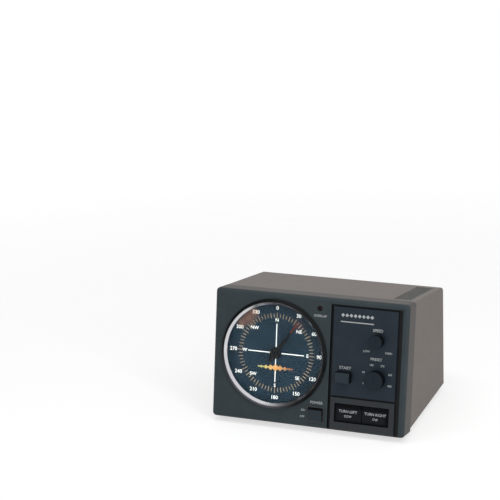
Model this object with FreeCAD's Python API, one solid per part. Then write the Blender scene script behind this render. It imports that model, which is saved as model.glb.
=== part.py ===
import FreeCAD
import Part
import math
import os

# Antenna rotator controller: a steel cabinet with a moulded front that leans back. A round dial with a
# geared pointer fills the left of the face, and a let-in plate with knobs and keys the right.
# The model stands on z = 0. +X is to the right of someone facing the dial, +Y runs to the rear.
# Three sets of local axes carry the pieces, all in millimetres:
#   face:  x right, y into the cabinet from the face, z up the leaning face from its lower edge
#   floor: x right, y back from the lower edge of the face, z up from the table
#   rear:  x right, y outwards from the cover's rear edge, z up the slanted rear from the underside

# Cabinet
FACE_WIDTH = 200.0
FACE_HEIGHT = 131.0
FACE_LEAN = 9.0  # degrees back from upright
FACE_EDGE_HEIGHT = 6.0  # lower edge of the face above the table
BEZEL_DEPTH = 24.0
BEZEL_WALL = 2.5
BEZEL_ROUNDING = 4.0
TOP_DEPTH = 133.0  # face to rear edge, along the top
REAR_SLANT = 4.0  # degrees that the rear leans forwards
UNDERSIDE_HEIGHT = 7.0
COVER_SHEET = 1.0
COVER_INSET = 0.5  # cover lies inside the bezel's outline by this
COVER_BEND = 2.5
COVER_REAR_BEND = 4.0
COVER_LIP = 11.0
LIP_SCREW_HEIGHT = 3.6  # above the lip's lower edge
COVER_FLANGE = 10.0
CHASSIS_SHEET = 1.2
SHEET_GAP = 0.2  # between sheets that slide into each other

# Vent slots at the right end of the top
VENT_FROM_RIGHT = 8.0
VENT_LENGTH = 17.0
VENT_WIDTH = 2.0
VENT_PITCH = 4.0
VENT_MARGIN = 10.0  # from the bezel, and from the rear bend

# Feet
FOOT_RADIUS = 7.0
FOOT_MARGIN = 23.5  # their middles, to the sides
FRONT_FOOT_BACK = 14.0  # behind the bezel
REAR_FOOT_MARGIN = 16.0

# Dial: as large as the face's height and the width beside the recess allow
DIAL_LEFT_MARGIN = 9.1  # ring to the face's left edge
DIAL_BOTTOM_MARGIN = 14.8
DIAL_TOP_MARGIN = 6.2
DIAL_TO_RECESS = 2.6
RING_RISE = 3.2
RING_RIM = 1.2
RING_SLOPE = 45.0  # degrees that its inner side rises
RING_CREST = 1.2  # flat along its highest part
RING_WIDTH = 4.5  # outside to the lens's edge
RING_LAP = 1.0  # over the lens
RING_LIP = 0.5
RING_SKIRT = 1.4
LENS_PROUD = 0.3
LENS_THICKNESS = 2.0
DIAL_DEPTH = 6.0  # printed face behind the cabinet's face
DIAL_THICKNESS = 1.2
DIAL_PAST_LENS = 1.8
DIAL_HOLE_RADIUS = 2.4
LIGHT_BOX_WALL = 2.0
LIGHT_BOX_LEDGE = 2.0
LIGHT_BOX_DEPTH = 9.8  # hollow behind the dial plate
EAR_REACH = 7.0  # light box to the middle of an ear's screw
EAR_ANGLES = (30.0, 135.0, 225.0, 330.0)
EAR_WIDTH = 7.0
LAMP_RADIUS = 2.5
LAMP_ROUNDING = 2.2
LAMP_HOLDER_RADIUS = 4.0
LAMP_HOLDER_LENGTH = 3.0
LAMP_FROM_CENTRE = 40.0
LAMP_ANGLES = (-45.0, 40.0)  # clockwise from the top
LAMP_LENGTH = 6.0

# Pointer and its gears
POINTER_REST = 35.0  # degrees clockwise from the top
POINTER_TIP_FROM_RING = 12.0  # to the lens's edge
POINTER_TAIL = 11.0
POINTER_ROOT = 3.4
POINTER_TIP = 1.0
POINTER_THICKNESS = 0.8
HUB_RADIUS = 5.5
HUB_THICKNESS = 1.8
HUB_ROUNDING = 0.6
HUB_FACE = 0.6  # left in front of the shaft
HUB_GAP = 0.9  # behind the lens
POINTER_SHAFT_RADIUS = 1.5
GEAR_MODULE = 0.5
GEAR_PRESSURE_ANGLE = 20.0
GEAR_BACKLASH = 0.08
GEAR_DEDENDUM = 1.25  # modules
GEAR_WIDTH = 3.0
GEAR_GAP = 1.5  # behind the light box
PINION_EXTRA = 0.4
POINTER_TEETH = 40
PINION_TEETH = 16
FEEDBACK_TEETH = 54
PILLAR_LENGTH = 6.0
PILLAR_RADIUS = 3.0
PILLAR_FROM_EDGE = 4.0  # to the frame's edges
FRAME_SHEET = 1.2
FRAME_HALF_WIDTH = 24.0
FRAME_UP = 28.0
FRAME_DOWN = 40.0
BUSHING_RADIUS = 2.45
BUSHING_FLANGE_RADIUS = 4.0
BUSHING_FLANGE = 1.0
BUSHING_LENGTH = 3.3
MOTOR_RADIUS = 10.0
MOTOR_LENGTH = 20.0
MOTOR_ROUNDING = 1.0
MOTOR_BOSS_RADIUS = 3.0
MOTOR_CAP = 2.0
MOTOR_TAG_SPACING = 12.0
MOTOR_SHAFT_RADIUS = 1.0
FEEDBACK_POT_RADIUS = 10.0
FEEDBACK_POT_LENGTH = 10.0
FEEDBACK_BOSS_RADIUS = 3.5
FEEDBACK_TAG_SPACING = 5.0
TAG_WIDTH = 2.0
TAG_THICKNESS = 0.6
TAG_LENGTH = 4.0
DRIVE_SHAFT_INSIDE = 7.0  # length of a shaft in its motor or potentiometer

# Recess at the right of the face, with the control plate and the key frame
RECESS_FROM_RIGHT = 78.3
RECESS_RIGHT_BAND = 6.0
RECESS_TOP_BAND = 5.6
RECESS_DEPTH = 3.0
GROOVE_LEFT = 2.8
GROOVE_RIGHT = 4.8
GROOVE_TOP = 2.2
PLATE_SET_IN = 0.4
PLATE_BOTTOM = 35.2
FRAME_TOP = 33.4
FRAME_BOTTOM = 0.8
FRAME_SET_IN = 0.3

# Keys
KEY_OPENING_LEFT = 4.1  # from the key frame's left edge
KEY_OPENING_RIGHT = 5.2  # from its right edge
KEY_OPENING_HEIGHT = 18.8
KEY_OPENING_BOTTOM = 9.0
KEY_TUBE_WALL = 1.2
KEY_TUBE_DEPTH = 8.0
KEY_GAP = 0.4
KEY_SET_IN = 1.3
KEY_FLANGE = 1.2
KEY_FLANGE_OVERHANG = 1.0
KEY_ROUNDING = 0.8

# Knobs, button, lamp and rocker
KNOBS_FROM_RIGHT = 30.0
SPEED_HEIGHT = 93.5
SPEED_KNOB_RADIUS = 6.5
SPEED_KNOB_LENGTH = 10.0
PRESET_HEIGHT = 55.7
PRESET_KNOB_RADIUS = 9.0
PRESET_KNOB_LENGTH = 10.5
KNOB_GAP = 0.7
KNOB_CAP = 2.0
KNOB_FLUTE_RADIUS = 0.6
KNOB_FLUTES = 18
CONTROL_SHAFT_RADIUS = 3.0
POT_RADIUS = 8.5
POT_LENGTH = 7.0
POT_BUSHING_RADIUS = 3.4
BUTTON_FROM_RECESS = 15.6  # its middle, to the recess's left edge
BUTTON_HEIGHT = 54.6
BUTTON_WIDTH = 14.6
BUTTON_TALL = 10.3
BUTTON_RISE = 8.0
BUTTON_GAP = 0.3
BUTTON_FLANGE = 1.2
STEM_RADIUS = 1.6
STEM_LENGTH_INTO_SWITCH = 0.5
SWITCH_SIDE = 7.0
SWITCH_HEIGHT = 3.5
SWITCH_BORE_DEPTH = 3.0
LED_FROM_RECESS = 11.7
LED_FROM_TOP = 11.3
LED_RADIUS = 2.45
LED_FLANGE_RADIUS = 3.0
LED_FLANGE = 1.0
LED_RISE = 1.0
LED_ROUNDING = 0.9
LED_BODY = 4.5
LED_LEAD = 0.5
ROCKER_FROM_RECESS = 12.1
ROCKER_HEIGHT = 14.0
ROCKER_WIDTH = 14.6
ROCKER_TALL = 12.6
ROCKER_RISE = 3.4
ROCKER_PIVOT_DEPTH = 3.0
ROCKER_BACK = 2.6  # behind the pivot
ROCKER_DIP = 0.7  # bend in the middle of its face
ROCKER_BACK_BEVEL = 1.0
ROCKER_BACK_INSET = 3.0
ROCKER_TILT = 7.0  # degrees either side of level
ROCKER_GAP = 0.5
ROCKER_TAPER = 0.6  # at its front corners
ROCKER_PIN_RADIUS = 1.0
ROCKER_PIN_LENGTH = 0.9
POWER_BODY_WALL = 0.8
POWER_BODY_FROM_SUBPANEL = 6.0
POWER_CAVITY_DEPTH = 8.0
POWER_FLANGE = 0.8
POWER_FLANGE_OVERHANG = 0.5
POWER_TAG_LENGTH = 5.0
POWER_TAG_WIDTH = 4.0
POWER_TAG_THICKNESS = 0.8

# Control board, behind the right of the face
CONTROL_BOARD_DEPTH = 15.0
BOARD_THICKNESS = 1.6
CONTROL_BOARD_LEFT = 5.3  # from the recess's left edge
CONTROL_BOARD_RIGHT = 13.0  # from the cabinet's right edge
CONTROL_BOARD_BOTTOM = 9.0
CONTROL_BOARD_FROM_TOP = 17.0
CONTROL_BOSS_RADIUS = 3.0
CONTROL_BOSS_INSET = 3.6
CONTROL_BOSS_LOW = 37.0
CONTROL_CONNECTOR_HEIGHT = 67.0

# Front sub-panel
CORNER_BOSS_RADIUS = 3.6
CORNER_BOSS_INSET = 8.0
CORNER_BOSS_LOW = 12.0
CORNER_BOSS_RIGHT_DROP = 14.0  # of the right-hand upper boss, from the face's top
DIAL_WINDOW_GAP = 3.4  # round the indicator frame's corners
SUBPANEL_WINDOW_MARGIN = 6.0
SWITCH_WINDOW_MARGIN = 3.0
SUBPANEL_FLANGE = 12.0
SUBPANEL_SCREW_XS = (-62.0, -18.0, 55.0)
SUBPANEL_SCREW_HEIGHT = 7.0  # above the sub-panel's lower edge

# Transformer
CORE_WIDTH = 60.0
CORE_HEIGHT = 50.0
CORE_STACK = 30.0
CORE_LIMB = 10.0
WINDING_OVERHANG = 12.0
WINDING_GAP = 0.3
WINDING_ROUNDING = 4.0
TRANSFORMER_FROM_REAR = 60.4
STRAP_SHEET = 1.0
STRAP_EAR = 9.0
STRAP_FROM_SIDE = 8.0
STRAP_WIDTH = 16.0

# Main board
MAIN_BOARD_SIDE_MARGIN = 8.0
MAIN_BOARD_TO_CORE = 14.0
MAIN_BOARD_FROM_REAR = 13.4
MAIN_BOARD_LENGTH = 83.0
MAIN_BOARD_INSET = 5.0
STANDOFF_HEIGHT = 8.0
STANDOFF_RADIUS = 3.2
CAPACITOR_RADIUS = 9.0
CAPACITOR_HEIGHT = 30.0
CAPACITOR_ROUNDING = 1.2
CAPACITOR_FROM_RIGHT = 23.0
CAPACITOR_FROM_FRONT = 24.0
CAPACITOR_GAP = 4.0
RELAY_LENGTH = 20.0
RELAY_WIDTH = 15.0
RELAY_HEIGHT = 16.0
RELAY_OFF_MIDDLE = 1.2  # towards the sink, from the middle of the room that it leaves
RELAY_FROM_FRONT = 14.0
RELAY_GAP = 6.0
SINK_BASE = 3.0
SINK_FIN = 1.5
SINK_FINS = 6
SINK_FIN_LENGTH = 9.0
SINK_LENGTH = 50.0
SINK_HEIGHT = 36.0
SINK_FROM_LEFT = 2.0
SINK_FROM_FRONT = 16.0
TRANSISTOR_WIDTH = 10.2
TRANSISTOR_HEIGHT = 15.5
TRANSISTOR_THICKNESS = 4.4
TRANSISTOR_SPACING = 23.0
TRANSISTOR_LEAD_LENGTH = 8.0
TRANSISTOR_LEAD_PITCH = 2.5
TRANSISTOR_LEAD = 0.8
TRANSISTOR_LEAD_BACK = 2.0  # from the sink
CONNECTOR_LENGTH = 18.0
CONNECTOR_WIDTH = 6.0
CONNECTOR_HEIGHT = 9.0
CONNECTOR_GAP = 6.0
CONNECTORS_FROM_LEFT = 14.0
CONNECTORS_FROM_REAR = 16.0

# Rear fittings: x is from the cabinet's centre, height is up the rear from the underside
SOCKET_X = -58.0
SOCKET_HEIGHT = 32.0
SOCKET_RADIUS = 11.0
SOCKET_REACH = 13.0
SOCKET_FLANGE_RADIUS = 14.5
SOCKET_FLANGE = 2.0
SOCKET_INSIDE = 9.0
SOCKET_PINS = 6
SOCKET_PIN_CIRCLE = 6.2
SOCKET_PIN_RADIUS = 1.0
SOCKET_PIN_DEPTH = 7.0
SOCKET_ROUNDING = 0.6
JACK_X = -18.0
JACK_HEIGHT = 32.0
JACK_RADIUS = 7.0
JACK_FLANGE_RADIUS = 9.0
JACK_FLANGE = 1.5
JACK_ROUNDING = 0.5
JACK_INSIDE = 8.0
JACK_PINS = 5
JACK_PIN_CIRCLE = 3.9
JACK_PIN_RADIUS = 0.8
JACK_PIN_DEPTH = 5.0
FUSE_X = 42.0
FUSE_HEIGHT = 24.0
FUSE_RADIUS = 6.0
FUSE_FLANGE_RADIUS = 8.0
FUSE_FLANGE = 2.5
FUSE_INSIDE = 24.0
FUSE_CAP_RADIUS = 6.5
FUSE_CAP_LENGTH = 7.0
FUSE_CAP_ROUNDING = 0.8
FUSE_SLOT = 1.4
FUSE_SLOT_DEPTH = 1.5
FUSE_BORE_SPARE = 1.0  # below the plug's end
FUSE_PLUG_RADIUS = 3.4
FUSE_PLUG_LENGTH = 16.0
CORD_X = 76.0
CORD_HEIGHT = 24.0
CORD_BORE_RADIUS = 3.75
BUSH_RADIUS = 6.2
BUSH_FLANGE_RADIUS = 8.5
BUSH_REACH = 9.0
BUSH_FLANGE = 3.0
BUSH_ROUNDING = 1.2
BUSH_INSIDE = 5.0
GROUND_X = 12.0
GROUND_HEIGHT = 24.0
GROUND_RADIUS = 2.0
GROUND_REACH = 11.0
GROUND_INSIDE = 5.0
NUT_ACROSS_FLATS = 7.0
NUT_THICKNESS = 3.2
TRIMMER_XS = (-50.0, -28.0)
TRIMMER_HEIGHT = 66.0
TRIMMER_POT_RADIUS = 5.5
TRIMMER_POT_LENGTH = 8.0
TRIMMER_BUSHING_RADIUS = 3.4
TRIMMER_BUSHING_REACH = 3.0
TRIMMER_SHAFT_RADIUS = 2.0
TRIMMER_SHAFT_REACH = 6.0
TRIMMER_SHAFT_STOP = 2.0  # from the body's rear end
TRIMMER_SLOT = 0.8
TRIMMER_SLOT_DEPTH = 1.0
REAR_VENTS = 12
REAR_VENT_LOW = 58.0
REAR_VENT_FROM_TOP = 18.4
REAR_VENT_LEFT = 26.0
REAR_VENT_PITCH = 5.0
REAR_BASE_SCREW_HEIGHT = 7.2
REAR_BASE_SCREW_MIDDLE = -5.0

# Screws: three millimetre machine screws hold the cabinet, smaller ones the boards and the dial
SCREW_RADIUS = 1.45
SCREW_SIDE_MARGIN = 20.0  # from the cabinet's corners
SCREW_HEAD_RADIUS = 2.8
SCREW_HEAD = 1.8
SMALL_SCREW_RADIUS = 1.2
SMALL_SCREW_HEAD_RADIUS = 2.3
SMALL_SCREW_HEAD = 1.5
SCREW_LENGTH = 6.0
SHEET_SCREW_LENGTH = 4.0
SCREW_SLOT = 0.6
SCREW_SLOT_DEPTH = 0.7
SCREW_SLOT_REACH = 0.6  # share of the head's radius
SCREW_HEAD_ROUNDING = 0.4  # share of the head's height
HOLE_CLEARANCE = 0.15

# Fits, all radial
RUNNING_FIT = 0.05
SEAT_FIT = 0.02
LOOSE_FIT = 0.1
OVERCUT = 10.0  # how far a cut runs past the surface that it opens

# Sizes that follow from the ones above
LEAN = math.radians(FACE_LEAN)
SLANT = math.radians(REAR_SLANT)
HALF_WIDTH = FACE_WIDTH / 2
COVER_HALF = HALF_WIDTH - COVER_INSET
INNER_HALF = COVER_HALF - COVER_SHEET
COVER_TOP = FACE_HEIGHT - COVER_INSET
FLOOR_TOP = UNDERSIDE_HEIGHT + COVER_SHEET + CHASSIS_SHEET
SUBPANEL_BACK = BEZEL_DEPTH + CHASSIS_SHEET
REAR_PLATE_OUT = -COVER_SHEET
REAR_PLATE_IN = REAR_PLATE_OUT - CHASSIS_SHEET

DIAL_ROOM_UP = FACE_HEIGHT - DIAL_BOTTOM_MARGIN - DIAL_TOP_MARGIN
DIAL_ROOM_ACROSS = FACE_WIDTH - DIAL_LEFT_MARGIN - DIAL_TO_RECESS - RECESS_FROM_RIGHT
RING_RADIUS = min(DIAL_ROOM_UP, DIAL_ROOM_ACROSS) / 2
DIAL_X = DIAL_LEFT_MARGIN + RING_RADIUS - HALF_WIDTH
DIAL_HEIGHT = DIAL_BOTTOM_MARGIN + DIAL_ROOM_UP / 2
LENS_RADIUS = RING_RADIUS - RING_WIDTH
DIAL_RADIUS = LENS_RADIUS + DIAL_PAST_LENS
POINTER_LENGTH = LENS_RADIUS - POINTER_TIP_FROM_RING
DIAL_BACK = DIAL_DEPTH + DIAL_THICKNESS
LIGHT_BOX_BACK = DIAL_BACK + LIGHT_BOX_DEPTH
LIGHT_BOX_INNER = DIAL_RADIUS + SHEET_GAP
LIGHT_BOX_OUTER = LIGHT_BOX_INNER + LIGHT_BOX_WALL
EAR_RADIUS = LIGHT_BOX_OUTER + EAR_REACH
LENS_BACK = LENS_THICKNESS - LENS_PROUD
HUB_FRONT = LENS_BACK + HUB_GAP
FRAME_FRONT = LIGHT_BOX_BACK + PILLAR_LENGTH
FRAME_BACK = FRAME_FRONT + FRAME_SHEET
GEAR_FRONT = LIGHT_BOX_BACK + GEAR_GAP
PINION_DISTANCE = GEAR_MODULE * (POINTER_TEETH + PINION_TEETH) / 2
FEEDBACK_DISTANCE = GEAR_MODULE * (POINTER_TEETH + FEEDBACK_TEETH) / 2

RECESS_LEFT = HALF_WIDTH - RECESS_FROM_RIGHT
RECESS_RIGHT = HALF_WIDTH - RECESS_RIGHT_BAND
RECESS_TOP = FACE_HEIGHT - RECESS_TOP_BAND
RECESS_WALL_BACK = RECESS_DEPTH + BEZEL_WALL
PLATE_LEFT = RECESS_LEFT + GROOVE_LEFT
PLATE_RIGHT = RECESS_RIGHT - GROOVE_RIGHT
PLATE_TOP = RECESS_TOP - GROOVE_TOP
KEY_LEFT = PLATE_LEFT + KEY_OPENING_LEFT
KEY_RIGHT = PLATE_RIGHT - KEY_OPENING_RIGHT
KEY_TOP = KEY_OPENING_BOTTOM + KEY_OPENING_HEIGHT
KNOB_X = HALF_WIDTH - KNOBS_FROM_RIGHT
BUTTON_X = RECESS_LEFT + BUTTON_FROM_RECESS
LED_X = RECESS_LEFT - LED_FROM_RECESS
LED_HEIGHT = FACE_HEIGHT - LED_FROM_TOP
ROCKER_X = RECESS_LEFT - ROCKER_FROM_RECESS
POWER_BODY_DEPTH = BEZEL_DEPTH - POWER_BODY_FROM_SUBPANEL
SWITCH_FRONT = CONTROL_BOARD_DEPTH - SWITCH_HEIGHT
STEM_END = SWITCH_FRONT + STEM_LENGTH_INTO_SWITCH
POT_FRONT = CONTROL_BOARD_DEPTH - POT_LENGTH
CONTROL_BOARD_X = (RECESS_LEFT + CONTROL_BOARD_LEFT, HALF_WIDTH - CONTROL_BOARD_RIGHT)
CONTROL_BOARD_TOP = FACE_HEIGHT - CONTROL_BOARD_FROM_TOP
CONTROL_BOARD_BACK = CONTROL_BOARD_DEPTH + BOARD_THICKNESS
MAIN_BOARD_LEFT = MAIN_BOARD_SIDE_MARGIN - HALF_WIDTH
TRANSFORMER_X = HALF_WIDTH - STRAP_FROM_SIDE - STRAP_EAR - STRAP_SHEET - CORE_WIDTH / 2
MAIN_BOARD_RIGHT = TRANSFORMER_X - CORE_WIDTH / 2 - MAIN_BOARD_TO_CORE
MAIN_BOARD_UNDER = FLOOR_TOP + STANDOFF_HEIGHT
MAIN_BOARD_TOP = MAIN_BOARD_UNDER + BOARD_THICKNESS


def floor_point(depth, height):
    """Floor y and z of a point given by its depth behind the face and its height up the face."""
    back = depth * math.cos(LEAN) + height * math.sin(LEAN)
    up = FACE_EDGE_HEIGHT - depth * math.sin(LEAN) + height * math.cos(LEAN)
    return back, up


TOP_REAR_Y, TOP_REAR_Z = floor_point(TOP_DEPTH, COVER_TOP)
REAR_LENGTH = (TOP_REAR_Z - UNDERSIDE_HEIGHT) / math.cos(SLANT)
BOTTOM_REAR_Y = TOP_REAR_Y + REAR_LENGTH * math.sin(SLANT)
MAIN_BOARD_FRONT = BOTTOM_REAR_Y - MAIN_BOARD_FROM_REAR - MAIN_BOARD_LENGTH
TRANSFORMER_BACK = BOTTOM_REAR_Y - TRANSFORMER_FROM_REAR
SOCKET_LOW_EDGE = SOCKET_HEIGHT - SOCKET_RADIUS
REAR_REACH = BOTTOM_REAR_Y + SOCKET_REACH * math.cos(SLANT) - SOCKET_LOW_EDGE * math.sin(SLANT)
PRESET_FRONT = PLATE_SET_IN - KNOB_GAP - PRESET_KNOB_LENGTH
FRONT_REACH = min(0.0, floor_point(PRESET_FRONT, PRESET_HEIGHT - PRESET_KNOB_RADIUS)[0])
FRONT_EDGE_Y = -(FRONT_REACH + REAR_REACH) / 2


def on_face(shape):
    """Moves a shape from the face's axes into the model's."""
    moved = shape.copy()
    moved.rotate(FreeCAD.Vector(0, 0, 0), FreeCAD.Vector(1, 0, 0), -FACE_LEAN)
    moved.translate(FreeCAD.Vector(0, FRONT_EDGE_Y, FACE_EDGE_HEIGHT))
    return moved


def on_floor(shape):
    """Moves a shape from the floor's axes into the model's."""
    moved = shape.copy()
    moved.translate(FreeCAD.Vector(0, FRONT_EDGE_Y, 0))
    return moved


def rear_to_floor(shape):
    """Moves a shape from the rear's axes to the floor's."""
    moved = shape.copy()
    moved.rotate(FreeCAD.Vector(0, 0, 0), FreeCAD.Vector(1, 0, 0), REAR_SLANT)
    moved.translate(FreeCAD.Vector(0, BOTTOM_REAR_Y, UNDERSIDE_HEIGHT))
    return moved


def face_to_floor(shape):
    """Moves a shape from the face's axes to the floor's."""
    moved = shape.copy()
    moved.rotate(FreeCAD.Vector(0, 0, 0), FreeCAD.Vector(1, 0, 0), -FACE_LEAN)
    moved.translate(FreeCAD.Vector(0, 0, FACE_EDGE_HEIGHT))
    return moved


def on_rear(shape):
    """Moves a shape from the rear's axes into the model's."""
    return on_floor(rear_to_floor(shape))


def block(x, y, z):
    """A box between pairs of limits."""
    corner = FreeCAD.Vector(x[0], y[0], z[0])
    return Part.makeBox(x[1] - x[0], y[1] - y[0], z[1] - z[0], corner)


def rod(radius, x, z, y):
    """A cylinder along y, between the limits y."""
    start = FreeCAD.Vector(x, y[0], z)
    return Part.makeCylinder(radius, y[1] - y[0], start, FreeCAD.Vector(0, 1, 0))


def post(radius, x, y, z):
    """An upright cylinder between the limits z."""
    return Part.makeCylinder(radius, z[1] - z[0], FreeCAD.Vector(x, y, z[0]), FreeCAD.Vector(0, 0, 1))


def joined(first, others):
    """One clean solid from shapes that touch or overlap."""
    whole = first
    for other in others:
        whole = whole.fuse(other)
    return whole.removeSplitter()


def cut_all(shape, tools):
    """Cuts a list of shapes from one."""
    result = shape
    for tool in tools:
        result = result.cut(tool)
    return result


def round_edges(shape, radius, chosen):
    """Rounds the edges for which chosen(edge) is true."""
    edges = [edge for edge in shape.Edges if chosen(edge)]
    return shape.makeFillet(radius, edges)


def runs_along(edge, axis):
    """Whether a straight edge runs along an axis: 0, 1 or 2 for x, y or z."""
    if not isinstance(edge.Curve, Part.Line):
        return False
    return abs(edge.Curve.Direction[axis]) > 0.999


def at_depth(edge, depth):
    """Whether an edge lies at one y."""
    return all(abs(vertex.Y - depth) < 0.001 for vertex in edge.Vertexes)


def all_at_height(edge, height):
    """Whether an edge, in the floor's axes, lies at one height up the face."""
    for vertex in edge.Vertexes:
        up = vertex.Y * math.sin(LEAN) + (vertex.Z - FACE_EDGE_HEIGHT) * math.cos(LEAN)
        if abs(up - height) > 0.001:
            return False
    return True


def tag(x, z, y, width, thickness):
    """A flat solder tag along y, between the limits y."""
    return block((x - width / 2, x + width / 2), y, (z - thickness / 2, z + thickness / 2))


def from_centre(centre_x, centre_z, radius, degrees):
    """A point on a circle in the face, at an angle clockwise from the top."""
    angle = math.radians(degrees)
    return centre_x + radius * math.sin(angle), centre_z + radius * math.cos(angle)


def screw(tip, towards_head, length, radius, head_radius, head_height):
    """A pan head screw with a crossed slot. Its head seats at length from the tip."""
    shank = Part.makeCylinder(radius, length)
    head = Part.makeCylinder(head_radius, head_height, FreeCAD.Vector(0, 0, length))
    top = length + head_height
    head = round_edges(head, head_height * SCREW_HEAD_ROUNDING, lambda edge: edge.BoundBox.ZMin > top - 0.001)
    whole = shank.fuse(head).removeSplitter()
    half_slot = head_radius * SCREW_SLOT_REACH
    for along, across in ((half_slot, SCREW_SLOT / 2), (SCREW_SLOT / 2, half_slot)):
        whole = whole.cut(block((-along, along), (-across, across), (top - SCREW_SLOT_DEPTH, top)))
    turn = FreeCAD.Rotation(FreeCAD.Vector(0, 0, 1), FreeCAD.Vector(*towards_head))
    whole.Placement = FreeCAD.Placement(FreeCAD.Vector(*tip), turn)
    return whole


def cabinet_screw(tip, towards_head, length):
    return screw(tip, towards_head, length, SCREW_RADIUS, SCREW_HEAD_RADIUS, SCREW_HEAD)


def small_screw(tip, towards_head):
    head = (SMALL_SCREW_HEAD_RADIUS, SMALL_SCREW_HEAD)
    return screw(tip, towards_head, SCREW_LENGTH, SMALL_SCREW_RADIUS, *head)


def save(node, shapes):
    """Writes one node's solids to its STEP file."""
    solids = []
    for shape in shapes:
        solids.extend(shape.Solids)
    for solid in solids:
        if not solid.isValid():
            raise ValueError("invalid solid in " + node)
    group = solids[0] if len(solids) == 1 else Part.makeCompound(solids)
    group.exportStep("parts/" + node + ".step")


# Places that several pieces share

def ear_places():
    """Screw places of the light box's ears, in the face's axes."""
    places = []
    for degrees in EAR_ANGLES:
        angle = math.radians(degrees)
        places.append((DIAL_X + EAR_RADIUS * math.cos(angle), DIAL_HEIGHT + EAR_RADIUS * math.sin(angle)))
    return places


def pillar_places():
    """Corners of the indicator frame, where the light box's pillars hold it."""
    side = FRAME_HALF_WIDTH - PILLAR_FROM_EDGE
    heights = (DIAL_HEIGHT + FRAME_UP - PILLAR_FROM_EDGE, DIAL_HEIGHT - FRAME_DOWN + PILLAR_FROM_EDGE)
    return [(DIAL_X + sign * side, height) for sign in (-1, 1) for height in heights]


def control_boss_places():
    """Screw places of the control board."""
    sides = (CONTROL_BOARD_X[0] + CONTROL_BOSS_INSET, CONTROL_BOARD_X[1] - CONTROL_BOSS_INSET)
    heights = (CONTROL_BOSS_LOW, CONTROL_BOARD_TOP - CONTROL_BOSS_INSET)
    return [(x, z) for x in sides for z in heights]


def corner_boss_places():
    """Screw places of the sub-panel on the bezel."""
    left = -HALF_WIDTH + CORNER_BOSS_INSET
    right = HALF_WIDTH - CORNER_BOSS_INSET
    high = FACE_HEIGHT - CORNER_BOSS_INSET
    high_right = FACE_HEIGHT - CORNER_BOSS_RIGHT_DROP
    return [(left, CORNER_BOSS_LOW), (left, high), (right, CORNER_BOSS_LOW), (right, high_right)]


def push_places():
    """Centres of the start button and the two keys: x, z."""
    key_width = (KEY_RIGHT - KEY_LEFT) / 2
    key_height = KEY_OPENING_BOTTOM + KEY_OPENING_HEIGHT / 2
    keys = [(KEY_LEFT + key_width / 2, key_height), (KEY_RIGHT - key_width / 2, key_height)]
    return [(BUTTON_X, BUTTON_HEIGHT)] + keys


def main_board_places():
    """Standoffs of the main board, in the floor's axes."""
    near = MAIN_BOARD_INSET
    xs = (MAIN_BOARD_LEFT + near, MAIN_BOARD_RIGHT - near)
    ys = (MAIN_BOARD_FRONT + near, MAIN_BOARD_FRONT + MAIN_BOARD_LENGTH - near)
    return [(x, y) for x in xs for y in ys]


def strap_places():
    """Screw places of the transformer's strap, in the floor's axes."""
    reach = CORE_WIDTH / 2 + STRAP_SHEET + STRAP_EAR / 2
    return [(TRANSFORMER_X + side * reach, TRANSFORMER_BACK) for side in (-1, 1)]


def flange_places():
    """Screws up through the cover's flanges into the base, in the floor's axes."""
    side = COVER_HALF - COVER_FLANGE / 2
    front = floor_point(SUBPANEL_BACK, 0)[0] + SCREW_SIDE_MARGIN
    rear = BOTTOM_REAR_Y - SCREW_SIDE_MARGIN
    return [(sign * side, y) for sign in (-1, 1) for y in (front, rear)]


def rear_screw_places():
    """Screws through the rear panel: three in the cover's lip, and three in the base's rear flange."""
    spread = HALF_WIDTH - SCREW_SIDE_MARGIN
    high = REAR_LENGTH - COVER_LIP + LIP_SCREW_HEIGHT
    base_xs = (-spread, REAR_BASE_SCREW_MIDDLE, spread)
    return [(x, high) for x in (-spread, 0.0, spread)], [(x, REAR_BASE_SCREW_HEIGHT) for x in base_xs]


def subpanel_screw_places():
    """Screws through the sub-panel's lower edge into the base's front flange."""
    height = subpanel_bottom() + SUBPANEL_SCREW_HEIGHT
    return [(x, height) for x in SUBPANEL_SCREW_XS]


def subpanel_bottom():
    """Height up the face of the sub-panel's lower edge, clear of the cover's flanges and the base."""
    level = UNDERSIDE_HEIGHT + COVER_SHEET - FACE_EDGE_HEIGHT + SUBPANEL_BACK * math.sin(LEAN)
    return level / math.cos(LEAN)


# Front

def front_outline():
    """Solid with the outside form of the bezel."""
    whole = block((-HALF_WIDTH, HALF_WIDTH), (0, BEZEL_DEPTH), (0, FACE_HEIGHT))
    return round_edges(whole, BEZEL_ROUNDING, lambda edge: runs_along(edge, 1) or at_depth(edge, 0))


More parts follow.
